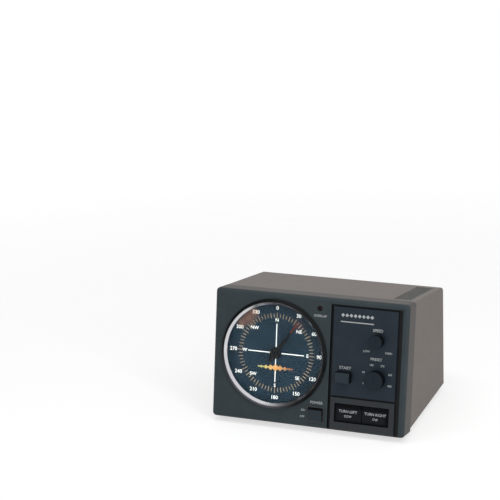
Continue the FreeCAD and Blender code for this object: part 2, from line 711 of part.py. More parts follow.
def front_bezel():
    """Moulded front: a shell with the dial's opening, the let-in recess, and bosses behind."""
    inner = block((-HALF_WIDTH + BEZEL_WALL, HALF_WIDTH - BEZEL_WALL), (BEZEL_WALL, BEZEL_DEPTH),
                  (BEZEL_WALL, FACE_HEIGHT - BEZEL_WALL))
    shell = front_outline().cut(inner)
    recess_back = block((RECESS_LEFT - BEZEL_WALL, HALF_WIDTH - BEZEL_WALL), (BEZEL_WALL, RECESS_WALL_BACK),
                        (BEZEL_WALL, RECESS_TOP + BEZEL_WALL))
    bosses = []
    for x, z in ear_places():
        bosses.append(rod(EAR_WIDTH / 2, x, z, (BEZEL_WALL, DIAL_BACK)))
    for x, z in control_boss_places():
        bosses.append(rod(CONTROL_BOSS_RADIUS, x, z, (RECESS_WALL_BACK, CONTROL_BOARD_DEPTH)))
    for x, z in corner_boss_places():
        bosses.append(rod(CORNER_BOSS_RADIUS, x, z, (BEZEL_WALL, BEZEL_DEPTH)))
    shell = joined(shell, [recess_back] + bosses)
    tools = [block((RECESS_LEFT, RECESS_RIGHT), (0, RECESS_DEPTH), (0, RECESS_TOP))]
    tools.append(rod(LENS_RADIUS + LOOSE_FIT + RING_SKIRT + LOOSE_FIT, DIAL_X, DIAL_HEIGHT, (0, BEZEL_WALL)))
    tools.append(rod(LED_RADIUS + LOOSE_FIT, LED_X, LED_HEIGHT, (0, BEZEL_WALL)))
    half_width = ROCKER_WIDTH / 2 + ROCKER_GAP + POWER_BODY_WALL + LOOSE_FIT
    half_height = ROCKER_TALL / 2 + ROCKER_GAP + POWER_BODY_WALL + LOOSE_FIT
    tools.append(block((ROCKER_X - half_width, ROCKER_X + half_width), (0, BEZEL_WALL),
                       (ROCKER_HEIGHT - half_height, ROCKER_HEIGHT + half_height)))
    outer = KEY_TUBE_WALL + LOOSE_FIT
    tools.append(block((KEY_LEFT - outer, KEY_RIGHT + outer), (RECESS_DEPTH, RECESS_WALL_BACK),
                       (KEY_OPENING_BOTTOM - outer, KEY_TOP + outer)))
    button_half = BUTTON_WIDTH / 2 + BUTTON_GAP
    button_tall = BUTTON_TALL / 2 + BUTTON_GAP
    tools.append(block((BUTTON_X - button_half, BUTTON_X + button_half), (RECESS_DEPTH, RECESS_WALL_BACK),
                       (BUTTON_HEIGHT - button_tall, BUTTON_HEIGHT + button_tall)))
    for z in (SPEED_HEIGHT, PRESET_HEIGHT):
        tools.append(rod(POT_BUSHING_RADIUS + LOOSE_FIT, KNOB_X, z, (RECESS_DEPTH, RECESS_WALL_BACK)))
    pilot = SMALL_SCREW_RADIUS + SEAT_FIT
    for x, z in ear_places():
        tools.append(rod(pilot, x, z, (DIAL_BACK - SCREW_LENGTH, DIAL_BACK)))
    for x, z in control_boss_places():
        tools.append(rod(pilot, x, z, (CONTROL_BOARD_DEPTH - SCREW_LENGTH, CONTROL_BOARD_DEPTH)))
    for x, z in corner_boss_places():
        tools.append(rod(SCREW_RADIUS + SEAT_FIT, x, z, (BEZEL_DEPTH - SCREW_LENGTH, BEZEL_DEPTH)))
    return cut_all(shell, tools)


def control_plate():
    """Plate in the recess, holed for the two shafts and the start button."""
    plate = block((PLATE_LEFT, PLATE_RIGHT), (PLATE_SET_IN, RECESS_DEPTH), (PLATE_BOTTOM, PLATE_TOP))
    tools = []
    for z in (SPEED_HEIGHT, PRESET_HEIGHT):
        tools.append(rod(CONTROL_SHAFT_RADIUS + 2 * LOOSE_FIT, KNOB_X, z, (0, RECESS_DEPTH)))
    half = BUTTON_WIDTH / 2 + BUTTON_GAP
    tall = BUTTON_TALL / 2 + BUTTON_GAP
    tools.append(block((BUTTON_X - half, BUTTON_X + half), (0, RECESS_DEPTH),
                       (BUTTON_HEIGHT - tall, BUTTON_HEIGHT + tall)))
    return cut_all(plate, tools)


def key_frame():
    """Surround of the keys: its foot follows the bezel's rounding, and a tube behind guides the keys."""
    rim = block((PLATE_LEFT, PLATE_RIGHT), (FRAME_SET_IN, RECESS_DEPTH), (FRAME_BOTTOM, FRAME_TOP))
    rim = rim.common(front_outline())
    wall = KEY_TUBE_WALL
    tube = block((KEY_LEFT - wall, KEY_RIGHT + wall), (RECESS_DEPTH, KEY_TUBE_DEPTH),
                 (KEY_OPENING_BOTTOM - wall, KEY_TOP + wall))
    opening = block((KEY_LEFT, KEY_RIGHT), (0, KEY_TUBE_DEPTH), (KEY_OPENING_BOTTOM, KEY_TOP))
    return joined(rim, [tube]).cut(opening)


def push_key(side):
    """One of the two keys: a cap in the tube, a flange that keeps it in, and a stem to its switch."""
    centre = (KEY_LEFT + KEY_RIGHT) / 2
    inner = centre + side * KEY_GAP / 2
    outer = (KEY_RIGHT - KEY_GAP) if side > 0 else (KEY_LEFT + KEY_GAP)
    x = (min(inner, outer), max(inner, outer))
    z = (KEY_OPENING_BOTTOM + KEY_GAP, KEY_TOP - KEY_GAP)
    cap = block(x, (KEY_SET_IN, KEY_TUBE_DEPTH), z)
    cap = round_edges(cap, KEY_ROUNDING, lambda edge: at_depth(edge, KEY_SET_IN))
    over = KEY_FLANGE_OVERHANG
    flange_x = (x[0], x[1] + over) if side > 0 else (x[0] - over, x[1])
    back = KEY_TUBE_DEPTH + KEY_FLANGE
    flange = block(flange_x, (KEY_TUBE_DEPTH, back), (z[0] - over, z[1] + over))
    place = push_places()[2 if side > 0 else 1]
    stem = rod(STEM_RADIUS, place[0], place[1], (back, STEM_END))
    return joined(cap, [flange, stem])


def start_button():
    """Rectangular push button that stands out of the plate."""
    x = (BUTTON_X - BUTTON_WIDTH / 2, BUTTON_X + BUTTON_WIDTH / 2)
    z = (BUTTON_HEIGHT - BUTTON_TALL / 2, BUTTON_HEIGHT + BUTTON_TALL / 2)
    front = PLATE_SET_IN - BUTTON_RISE
    cap = block(x, (front, RECESS_WALL_BACK), z)
    cap = round_edges(cap, KEY_ROUNDING, lambda edge: at_depth(edge, front))
    over = KEY_FLANGE_OVERHANG
    back = RECESS_WALL_BACK + BUTTON_FLANGE
    flange = block((x[0] - over, x[1] + over), (RECESS_WALL_BACK, back), (z[0] - over, z[1] + over))
    stem = rod(STEM_RADIUS, BUTTON_X, BUTTON_HEIGHT, (back, STEM_END))
    return joined(cap, [flange, stem])


def push_switches():
    """Square push switches on the control board, bored for the stems."""
    half = SWITCH_SIDE / 2
    switches = []
    for x, z in push_places():
        body = block((x - half, x + half), (SWITCH_FRONT, CONTROL_BOARD_DEPTH), (z - half, z + half))
        bore = rod(STEM_RADIUS + LOOSE_FIT, x, z, (SWITCH_FRONT, SWITCH_FRONT + SWITCH_BORE_DEPTH))
        switches.append(body.cut(bore))
    return switches


def knob(radius, length, height):
    """Fluted knob with a mark on its face, bored for its shaft."""
    back = PLATE_SET_IN - KNOB_GAP
    front = back - length
    body = rod(radius, KNOB_X, height, (front, back))
    body = round_edges(body, KNOB_FLUTE_RADIUS, lambda edge: at_depth(edge, front))
    tools = [rod(CONTROL_SHAFT_RADIUS + SEAT_FIT, KNOB_X, height, (front + KNOB_CAP, back))]
    for step in range(KNOB_FLUTES):
        degrees = 360.0 / KNOB_FLUTES * (step + 0.5)
        x, z = from_centre(KNOB_X, height, radius + KNOB_FLUTE_RADIUS / 2, degrees)
        tools.append(rod(KNOB_FLUTE_RADIUS, x, z, (front + 2 * KNOB_FLUTE_RADIUS, back)))
    mark = KNOB_FLUTE_RADIUS / 2
    tools.append(block((KNOB_X - mark, KNOB_X + mark), (front, front + mark), (height, height + radius)))
    return cut_all(body, tools)


def control_shaft(length, height):
    """Shaft of a potentiometer, out to the inside of its knob."""
    front = PLATE_SET_IN - KNOB_GAP - length + KNOB_CAP
    return rod(CONTROL_SHAFT_RADIUS, KNOB_X, height, (front, CONTROL_BOARD_DEPTH - BOARD_THICKNESS))


def control_pots():
    """Bodies of the two potentiometers, with their bushings through the bezel."""
    pots = []
    for z in (SPEED_HEIGHT, PRESET_HEIGHT):
        body = rod(POT_RADIUS, KNOB_X, z, (POT_FRONT, CONTROL_BOARD_DEPTH))
        bushing = rod(POT_BUSHING_RADIUS, KNOB_X, z, (RECESS_DEPTH + LOOSE_FIT, POT_FRONT))
        bore = rod(CONTROL_SHAFT_RADIUS + RUNNING_FIT, KNOB_X, z, (0, CONTROL_BOARD_DEPTH - BOARD_THICKNESS))
        pots.append(joined(body, [bushing]).cut(bore))
    return pots


def overlap_led():
    """Round lamp in the bezel, seated on its flange behind the wall, with two leads."""
    back = BEZEL_WALL + LED_BODY
    body = rod(LED_RADIUS, LED_X, LED_HEIGHT, (-LED_RISE, back))
    body = round_edges(body, LED_ROUNDING, lambda edge: at_depth(edge, -LED_RISE))
    flange = rod(LED_FLANGE_RADIUS, LED_X, LED_HEIGHT, (BEZEL_WALL, BEZEL_WALL + LED_FLANGE))
    leads = [tag(LED_X + side * LED_RADIUS / 2, LED_HEIGHT, (back, back + LED_BODY), LED_LEAD, LED_LEAD)
             for side in (-1, 1)]
    return joined(body, [flange] + leads)


def power_switch():
    """Body of the power switch: a flange on the face, a cavity for the rocker, and tags behind."""
    half_width = ROCKER_WIDTH / 2 + ROCKER_GAP
    half_height = ROCKER_TALL / 2 + ROCKER_GAP
    wall = POWER_BODY_WALL
    rim = wall + POWER_FLANGE_OVERHANG
    body = block((ROCKER_X - half_width - wall, ROCKER_X + half_width + wall), (0, POWER_BODY_DEPTH),
                 (ROCKER_HEIGHT - half_height - wall, ROCKER_HEIGHT + half_height + wall))
    flange = block((ROCKER_X - half_width - rim, ROCKER_X + half_width + rim), (-POWER_FLANGE, 0),
                   (ROCKER_HEIGHT - half_height - rim, ROCKER_HEIGHT + half_height + rim))
    tags = []
    for side in (-1, 1):
        for level in (-1, 1):
            x = ROCKER_X + side * ROCKER_WIDTH / 4
            z = ROCKER_HEIGHT + level * ROCKER_TALL / 4
            tags.append(tag(x, z, (POWER_BODY_DEPTH, POWER_BODY_DEPTH + POWER_TAG_LENGTH),
                            POWER_TAG_WIDTH, POWER_TAG_THICKNESS))
    whole = joined(body, [flange] + tags)
    cavity = block((ROCKER_X - half_width, ROCKER_X + half_width), (-POWER_FLANGE, POWER_CAVITY_DEPTH),
                   (ROCKER_HEIGHT - half_height, ROCKER_HEIGHT + half_height))
    reach = ROCKER_WIDTH / 2 + ROCKER_PIN_LENGTH + ROCKER_GAP
    pin_hole = Part.makeCylinder(ROCKER_PIN_RADIUS + RUNNING_FIT, 2 * reach,
                                 FreeCAD.Vector(ROCKER_X - reach, ROCKER_PIVOT_DEPTH, ROCKER_HEIGHT),
                                 FreeCAD.Vector(1, 0, 0))
    return cut_all(whole, [cavity, pin_hole])


def power_rocker():
    """Rocker with a shallow bend in its face, on two pins, tilted to its off side."""
    half = ROCKER_TALL / 2
    front = -ROCKER_RISE
    back = ROCKER_PIVOT_DEPTH + ROCKER_BACK
    back_half = half - ROCKER_BACK_INSET
    back_edge = back - ROCKER_BACK_BEVEL
    front_half = half - ROCKER_TAPER
    corners = [(front, front_half), (front + ROCKER_DIP, 0), (front, -front_half), (0, -half),
               (back_edge, -half), (back, -back_half), (back, back_half), (back_edge, half), (0, half)]
    left = ROCKER_X - ROCKER_WIDTH / 2
    points = [FreeCAD.Vector(left, y, ROCKER_HEIGHT + z) for y, z in corners]
    outline = Part.Face(Part.makePolygon(points + points[:1]))
    cap = outline.extrude(FreeCAD.Vector(ROCKER_WIDTH, 0, 0))
    reach = ROCKER_WIDTH / 2 + ROCKER_GAP + ROCKER_PIN_LENGTH
    pin = Part.makeCylinder(ROCKER_PIN_RADIUS, 2 * reach,
                            FreeCAD.Vector(ROCKER_X - reach, ROCKER_PIVOT_DEPTH, ROCKER_HEIGHT),
                            FreeCAD.Vector(1, 0, 0))
    whole = joined(cap, [pin])
    pivot = FreeCAD.Vector(ROCKER_X, ROCKER_PIVOT_DEPTH, ROCKER_HEIGHT)
    whole.rotate(pivot, FreeCAD.Vector(1, 0, 0), ROCKER_TILT)
    return whole


def control_board():
    """Circuit board behind the recess, on the bezel's bosses."""
    board = block(CONTROL_BOARD_X, (CONTROL_BOARD_DEPTH, CONTROL_BOARD_BACK),
                  (CONTROL_BOARD_BOTTOM, CONTROL_BOARD_TOP))
    tools = [rod(SMALL_SCREW_RADIUS + HOLE_CLEARANCE, x, z, (CONTROL_BOARD_DEPTH, CONTROL_BOARD_BACK))
             for x, z in control_boss_places()]
    return cut_all(board, tools)


# Dial and its works

def turned(section):
    """A ring turned about the dial's axis from the radius and depth of its section's corners."""
    points = [FreeCAD.Vector(DIAL_X + radius, depth, DIAL_HEIGHT) for radius, depth in section]
    face = Part.Face(Part.makePolygon(points + points[:1]))
    return face.revolve(FreeCAD.Vector(DIAL_X, 0, DIAL_HEIGHT), FreeCAD.Vector(0, 1, 0), 360)


def dial_ring():
    """Glossy ring: a rim on the face, a sloping inner side, a lip over the lens, and a skirt."""
    skirt_inner = LENS_RADIUS + LOOSE_FIT
    skirt_outer = skirt_inner + RING_SKIRT
    lip = LENS_RADIUS - RING_LAP
    lip_front = -LENS_PROUD - RING_LIP
    crest = lip + (RING_RISE + lip_front) / math.tan(math.radians(RING_SLOPE))
    section = [(skirt_outer, 0), (RING_RADIUS, 0), (RING_RADIUS, -RING_RIM), (crest + RING_CREST, -RING_RISE),
               (crest, -RING_RISE), (lip, lip_front), (lip, -LENS_PROUD),
               (skirt_inner, -LENS_PROUD), (skirt_inner, BEZEL_WALL), (skirt_outer, BEZEL_WALL)]
    return turned(section)


def dial_lens():
    """Flat clear window."""
    return rod(LENS_RADIUS, DIAL_X, DIAL_HEIGHT, (-LENS_PROUD, LENS_BACK))


def dial_plate():
    """Printed translucent disc with a hole for the pointer's shaft."""
    plate = rod(DIAL_RADIUS, DIAL_X, DIAL_HEIGHT, (DIAL_DEPTH, DIAL_BACK))
    return plate.cut(rod(DIAL_HOLE_RADIUS, DIAL_X, DIAL_HEIGHT, (DIAL_DEPTH, DIAL_BACK)))


def light_box():
    """White cup behind the dial plate, with ears on the bezel's bosses and pillars for the works."""
    cup = rod(LIGHT_BOX_OUTER, DIAL_X, DIAL_HEIGHT, (BEZEL_WALL, LIGHT_BOX_BACK))
    cup = cup.cut(rod(LIGHT_BOX_INNER, DIAL_X, DIAL_HEIGHT, (BEZEL_WALL, DIAL_BACK)))
    hollow = LIGHT_BOX_INNER - LIGHT_BOX_LEDGE
    cup = cup.cut(rod(hollow, DIAL_X, DIAL_HEIGHT, (DIAL_BACK, LIGHT_BOX_BACK - LIGHT_BOX_WALL)))
    ears = []
    for degrees, (x, z) in zip(EAR_ANGLES, ear_places()):
        bar = block((0, EAR_RADIUS), (DIAL_BACK, DIAL_BACK + LIGHT_BOX_WALL), (-EAR_WIDTH / 2, EAR_WIDTH / 2))
        bar = bar.cut(rod(LIGHT_BOX_INNER, 0, 0, (0, LIGHT_BOX_BACK)))
        bar.rotate(FreeCAD.Vector(0, 0, 0), FreeCAD.Vector(0, 1, 0), -degrees)
        bar.translate(FreeCAD.Vector(DIAL_X, 0, DIAL_HEIGHT))
        ears.append(bar)
        ears.append(rod(EAR_WIDTH / 2, x, z, (DIAL_BACK, DIAL_BACK + LIGHT_BOX_WALL)))
    pillars = [rod(PILLAR_RADIUS, x, z, (LIGHT_BOX_BACK, FRAME_FRONT)) for x, z in pillar_places()]
    whole = joined(cup, ears + pillars)
    tools = [rod(DIAL_HOLE_RADIUS, DIAL_X, DIAL_HEIGHT, (DIAL_BACK, LIGHT_BOX_BACK))]
    for x, z in ear_places():
        tools.append(rod(SMALL_SCREW_RADIUS + HOLE_CLEARANCE, x, z, (DIAL_BACK, LIGHT_BOX_BACK)))
    for x, z in pillar_places():
        tools.append(rod(SMALL_SCREW_RADIUS + SEAT_FIT, x, z, (LIGHT_BOX_BACK, FRAME_FRONT)))
    for degrees in LAMP_ANGLES:
        x, z = from_centre(DIAL_X, DIAL_HEIGHT, LAMP_FROM_CENTRE, degrees)
        tools.append(rod(LAMP_RADIUS + 2 * LOOSE_FIT, x, z, (DIAL_BACK, LIGHT_BOX_BACK)))
    return cut_all(whole, tools)


def dial_lamps():
    """Two small bulbs in holders pushed into the light box from behind."""
    lamps = []
    inside = LIGHT_BOX_BACK - LIGHT_BOX_WALL
    for degrees in LAMP_ANGLES:
        x, z = from_centre(DIAL_X, DIAL_HEIGHT, LAMP_FROM_CENTRE, degrees)
        bulb = rod(LAMP_RADIUS, x, z, (inside - LAMP_LENGTH, LIGHT_BOX_BACK))
        bulb = round_edges(bulb, LAMP_ROUNDING, lambda edge: at_depth(edge, inside - LAMP_LENGTH))
        holder = rod(LAMP_HOLDER_RADIUS, x, z, (LIGHT_BOX_BACK, LIGHT_BOX_BACK + LAMP_HOLDER_LENGTH))
        lamps.append(joined(bulb, [holder]))
    return lamps


def indicator_frame():
    """Steel plate on the pillars that carries the bushing, the motor and the feedback potentiometer."""
    x = (DIAL_X - FRAME_HALF_WIDTH, DIAL_X + FRAME_HALF_WIDTH)
    plate = block(x, (FRAME_FRONT, FRAME_BACK), (DIAL_HEIGHT - FRAME_DOWN, DIAL_HEIGHT + FRAME_UP))
    plate = round_edges(plate, PILLAR_RADIUS, lambda edge: runs_along(edge, 1))
    tools = [rod(BUSHING_RADIUS + SEAT_FIT, DIAL_X, DIAL_HEIGHT, (FRAME_FRONT, FRAME_BACK))]
    motor_z = DIAL_HEIGHT + PINION_DISTANCE
    pot_z = DIAL_HEIGHT - FEEDBACK_DISTANCE
    tools.append(rod(MOTOR_BOSS_RADIUS + SEAT_FIT, DIAL_X, motor_z, (FRAME_FRONT, FRAME_BACK)))
    tools.append(rod(FEEDBACK_BOSS_RADIUS + SEAT_FIT, DIAL_X, pot_z, (FRAME_FRONT, FRAME_BACK)))
    for x, z in pillar_places():
        tools.append(rod(SMALL_SCREW_RADIUS + HOLE_CLEARANCE, x, z, (FRAME_FRONT, FRAME_BACK)))
    return cut_all(plate, tools)


def indicator_screws():
    """Screws of the light box's ears and of the indicator frame."""
    screws = []
    for x, z in ear_places():
        seat = DIAL_BACK + LIGHT_BOX_WALL
        screws.append(small_screw((x, seat - SCREW_LENGTH, z), (0, 1, 0)))
    for x, z in pillar_places():
        screws.append(small_screw((x, FRAME_BACK - SCREW_LENGTH, z), (0, 1, 0)))
    return screws


def pointer():
    """Tapered needle with a tail, on a round hub, turned to its bearing."""
    hub = rod(HUB_RADIUS, 0, 0, (HUB_FRONT, HUB_FRONT + HUB_THICKNESS))
    hub = round_edges(hub, HUB_ROUNDING, lambda edge: at_depth(edge, HUB_FRONT))
    front = HUB_FRONT + (HUB_THICKNESS - POINTER_THICKNESS) / 2
    outline = [(-POINTER_ROOT / 2, 0), (-POINTER_TIP / 2, POINTER_LENGTH), (POINTER_TIP / 2, POINTER_LENGTH),
               (POINTER_ROOT / 2, 0), (POINTER_ROOT / 2, -POINTER_TAIL), (-POINTER_ROOT / 2, -POINTER_TAIL)]
    points = [FreeCAD.Vector(x, front, z) for x, z in outline]
    needle = Part.Face(Part.makePolygon(points + points[:1])).extrude(FreeCAD.Vector(0, POINTER_THICKNESS, 0))
    whole = joined(hub, [needle])
    bore = rod(POINTER_SHAFT_RADIUS + SEAT_FIT, 0, 0, (HUB_FRONT + HUB_FACE, HUB_FRONT + HUB_THICKNESS))
    whole = whole.cut(bore)
    whole.rotate(FreeCAD.Vector(0, 0, 0), FreeCAD.Vector(0, 1, 0), POINTER_REST)
    whole.translate(FreeCAD.Vector(DIAL_X, 0, DIAL_HEIGHT))
    return whole


def pointer_shaft():
    return rod(POINTER_SHAFT_RADIUS, DIAL_X, DIAL_HEIGHT, (HUB_FRONT + HUB_FACE, FRAME_BACK + BUSHING_LENGTH))


def pointer_bushing():
    """Flanged brass bushing in the indicator frame."""
    body = rod(BUSHING_RADIUS, DIAL_X, DIAL_HEIGHT, (FRAME_FRONT, FRAME_BACK + BUSHING_LENGTH))
    flange = rod(BUSHING_FLANGE_RADIUS, DIAL_X, DIAL_HEIGHT, (FRAME_FRONT - BUSHING_FLANGE, FRAME_FRONT))
    bore = rod(POINTER_SHAFT_RADIUS + RUNNING_FIT, DIAL_X, DIAL_HEIGHT, (0, FRAME_BACK + BUSHING_LENGTH))
    return joined(body, [flange]).cut(bore)


def involute(angle):
    return math.tan(angle) - angle


def gear(teeth, width, bore_radius, gap_up):
    """A spur gear about the y axis, with a tooth, or a gap where gap_up is true, at the top."""
    pitch = GEAR_MODULE * teeth / 2
    base = pitch * math.cos(math.radians(GEAR_PRESSURE_ANGLE))
    tip = pitch + GEAR_MODULE
    root = pitch - GEAR_DEDENDUM * GEAR_MODULE
    half_at_base = math.pi / 2 / teeth - GEAR_BACKLASH / 2 / pitch
    half_at_base += involute(math.radians(GEAR_PRESSURE_ANGLE))
    flank_start = max(base, root)

    def half_angle(radius):
        return half_at_base - involute(math.acos(min(1.0, base / radius)))

    def point(radius, angle):
        return FreeCAD.Vector(radius * math.sin(angle), 0, radius * math.cos(angle))

    radii = (flank_start, (flank_start + tip) / 2, tip)
    gap_radius = min(root, flank_start)
    edges = []
    for tooth in range(teeth):
        turn = 2 * math.pi * (tooth + (0.5 if gap_up else 0.0)) / teeth
        left = [point(radius, turn - half_angle(radius)) for radius in radii]
        right = [point(radius, turn + half_angle(radius)) for radius in reversed(radii)]
        foot_left = point(gap_radius, turn - half_angle(flank_start))
        foot_right = point(gap_radius, turn + half_angle(flank_start))
        next_foot = point(gap_radius, turn + 2 * math.pi / teeth - half_angle(flank_start))
        if root < base:
            edges.append(Part.makeLine(foot_left, left[0]))
        edges.append(Part.Arc(*left).toShape())
        edges.append(Part.Arc(left[2], point(tip, turn), right[0]).toShape())
        edges.append(Part.Arc(*right).toShape())
        if root < base:
            edges.append(Part.makeLine(right[2], foot_right))
        edges.append(Part.Arc(foot_right, point(gap_radius, turn + math.pi / teeth), next_foot).toShape())
    outline = Part.Wire(Part.__sortEdges__(edges))
    blank = Part.Face(outline).extrude(FreeCAD.Vector(0, width, 0))
    return blank.cut(rod(bore_radius, 0, 0, (0, width)))


def pointer_gear():
    """Wheel on the pointer's shaft, with a tooth up towards the pinion and one down."""
    wheel = gear(POINTER_TEETH, GEAR_WIDTH, POINTER_SHAFT_RADIUS + SEAT_FIT, False)
    wheel.translate(FreeCAD.Vector(DIAL_X, GEAR_FRONT, DIAL_HEIGHT))
    return wheel


def motor_pinion():
    """Pinion above the wheel, with a gap down towards it where its teeth are even in number."""
    pinion = gear(PINION_TEETH, GEAR_WIDTH + 2 * PINION_EXTRA, MOTOR_SHAFT_RADIUS + SEAT_FIT,
                  PINION_TEETH % 2 == 0)
    pinion.translate(FreeCAD.Vector(DIAL_X, GEAR_FRONT - PINION_EXTRA, DIAL_HEIGHT + PINION_DISTANCE))
    return pinion


def feedback_gear():
    """Wheel of the feedback potentiometer, with a gap up towards the pointer's wheel."""
    wheel = gear(FEEDBACK_TEETH, GEAR_WIDTH, POINTER_SHAFT_RADIUS + SEAT_FIT, True)
    wheel.translate(FreeCAD.Vector(DIAL_X, GEAR_FRONT, DIAL_HEIGHT - FEEDBACK_DISTANCE))
    return wheel


def motor_shaft():
    z = DIAL_HEIGHT + PINION_DISTANCE
    front = GEAR_FRONT - PINION_EXTRA
    return rod(MOTOR_SHAFT_RADIUS, DIAL_X, z, (front, FRAME_BACK + DRIVE_SHAFT_INSIDE))


def feedback_shaft():
    z = DIAL_HEIGHT - FEEDBACK_DISTANCE
    return rod(POINTER_SHAFT_RADIUS, DIAL_X, z, (GEAR_FRONT, FRAME_BACK + DRIVE_SHAFT_INSIDE))


def indicator_motor():
    """Small motor can on the frame, with a boss through it and two tags."""
    z = DIAL_HEIGHT + PINION_DISTANCE
    back = FRAME_BACK + MOTOR_LENGTH
    can = rod(MOTOR_RADIUS, DIAL_X, z, (FRAME_BACK, back))
    can = round_edges(can, MOTOR_ROUNDING, lambda edge: at_depth(edge, back))
    boss = rod(MOTOR_BOSS_RADIUS, DIAL_X, z, (FRAME_FRONT, FRAME_BACK))
    cap = rod(MOTOR_BOSS_RADIUS, DIAL_X, z, (back, back + MOTOR_CAP))
    tags = [tag(DIAL_X + side * MOTOR_TAG_SPACING / 2, z, (back, back + TAG_LENGTH), TAG_WIDTH, TAG_THICKNESS)
            for side in (-1, 1)]
    bore = rod(MOTOR_SHAFT_RADIUS + RUNNING_FIT, DIAL_X, z, (FRAME_FRONT, FRAME_BACK + DRIVE_SHAFT_INSIDE))
    return joined(can, [boss, cap] + tags).cut(bore)


def feedback_pot():
    """Body of the feedback potentiometer, with a boss through the frame and three tags."""
    z = DIAL_HEIGHT - FEEDBACK_DISTANCE
    back = FRAME_BACK + FEEDBACK_POT_LENGTH
    body = rod(FEEDBACK_POT_RADIUS, DIAL_X, z, (FRAME_BACK, back))
    boss = rod(FEEDBACK_BOSS_RADIUS, DIAL_X, z, (FRAME_FRONT, FRAME_BACK))
    tags = [tag(DIAL_X + step * FEEDBACK_TAG_SPACING, z, (back, back + TAG_LENGTH), TAG_WIDTH, TAG_THICKNESS)
            for step in (-1, 0, 1)]
    bore = rod(POINTER_SHAFT_RADIUS + RUNNING_FIT, DIAL_X, z, (FRAME_FRONT, FRAME_BACK + DRIVE_SHAFT_INSIDE))
    return joined(body, [boss] + tags).cut(bore)


# Cabinet

def side_profile(rear_inset, top_inset, bottom, front):
    """The cabinet's side outline behind the bezel, in the floor's axes, as a face at x = 0."""
    height = COVER_TOP - top_inset
    top_front = floor_point(front, height)
    rear_offset = BOTTOM_REAR_Y * math.cos(SLANT) + (UNDERSIDE_HEIGHT - FACE_EDGE_HEIGHT) * math.sin(SLANT)
    depth = (rear_offset - rear_inset - height * math.sin(LEAN + SLANT)) / math.cos(LEAN + SLANT)
    top_rear = floor_point(depth, height)
    drop = top_rear[1] - bottom
    bottom_rear = (top_rear[0] + drop * math.tan(SLANT), bottom)
    level = (bottom - FACE_EDGE_HEIGHT + front * math.sin(LEAN)) / math.cos(LEAN)
    bottom_front = floor_point(front, level)
    corners = [top_front, top_rear, bottom_rear, bottom_front]
    points = [FreeCAD.Vector(0, y, z) for y, z in corners]
    return Part.Face(Part.makePolygon(points + points[:1]))


def profile_block(half_width, rear_inset, top_inset, bottom, front):
    face = side_profile(rear_inset, top_inset, bottom, front)
    solid = face.extrude(FreeCAD.Vector(2 * half_width, 0, 0))
    solid.translate(FreeCAD.Vector(-half_width, 0, 0))
    return solid


def top_cover():
    """Folded sheet: the top, two sides, a lip down the rear, and flanges under the base."""
    sheet = COVER_SHEET

    def is_top_side(edge):
        return not runs_along(edge, 0) and all_at_height(edge, COVER_TOP)

    def is_top_rear(edge, height):
        return runs_along(edge, 0) and all_at_height(edge, height) and edge.CenterOfMass.y > TOP_REAR_Y / 2

    outer = profile_block(COVER_HALF, 0, 0, UNDERSIDE_HEIGHT, BEZEL_DEPTH)
    outer = round_edges(outer, COVER_REAR_BEND, lambda edge: is_top_rear(edge, COVER_TOP))
    outer = round_edges(outer, COVER_BEND, is_top_side)
    inner = profile_block(INNER_HALF, sheet, sheet, UNDERSIDE_HEIGHT + sheet, BEZEL_DEPTH - OVERCUT)
    inner = round_edges(inner, COVER_REAR_BEND - sheet, lambda edge: is_top_rear(edge, COVER_TOP - sheet))
    shell = outer.cut(inner)
    rear_window = rear_to_floor(block((-INNER_HALF, INNER_HALF), (-3 * sheet, OVERCUT),
                                      (-OVERCUT, REAR_LENGTH - COVER_LIP)))
    bottom_window = block((-COVER_HALF + COVER_FLANGE, COVER_HALF - COVER_FLANGE),
                          (-OVERCUT, BOTTOM_REAR_Y + OVERCUT), (0, UNDERSIDE_HEIGHT + 2 * sheet))
    tools = [rear_window, bottom_window]
    slots = int((TOP_DEPTH - COVER_REAR_BEND - BEZEL_DEPTH - 2 * VENT_MARGIN) / VENT_PITCH) + 1
    for step in range(slots):
        depth = BEZEL_DEPTH + VENT_MARGIN + step * VENT_PITCH
        right = COVER_HALF - VENT_FROM_RIGHT
        slot = block((right - VENT_LENGTH, right), (depth, depth + VENT_WIDTH),
                     (COVER_TOP - 2 * sheet, COVER_TOP + sheet))
        tools.append(face_to_floor(slot))
    for x, y in flange_places():
        tools.append(post(SCREW_RADIUS + HOLE_CLEARANCE, x, y, (0, UNDERSIDE_HEIGHT + 2 * sheet)))
    for x, z in rear_screw_places()[0]:
        tools.append(rear_to_floor(rod(SCREW_RADIUS + HOLE_CLEARANCE, x, z, (-2 * sheet, 0))))
    return cut_all(shell, tools)


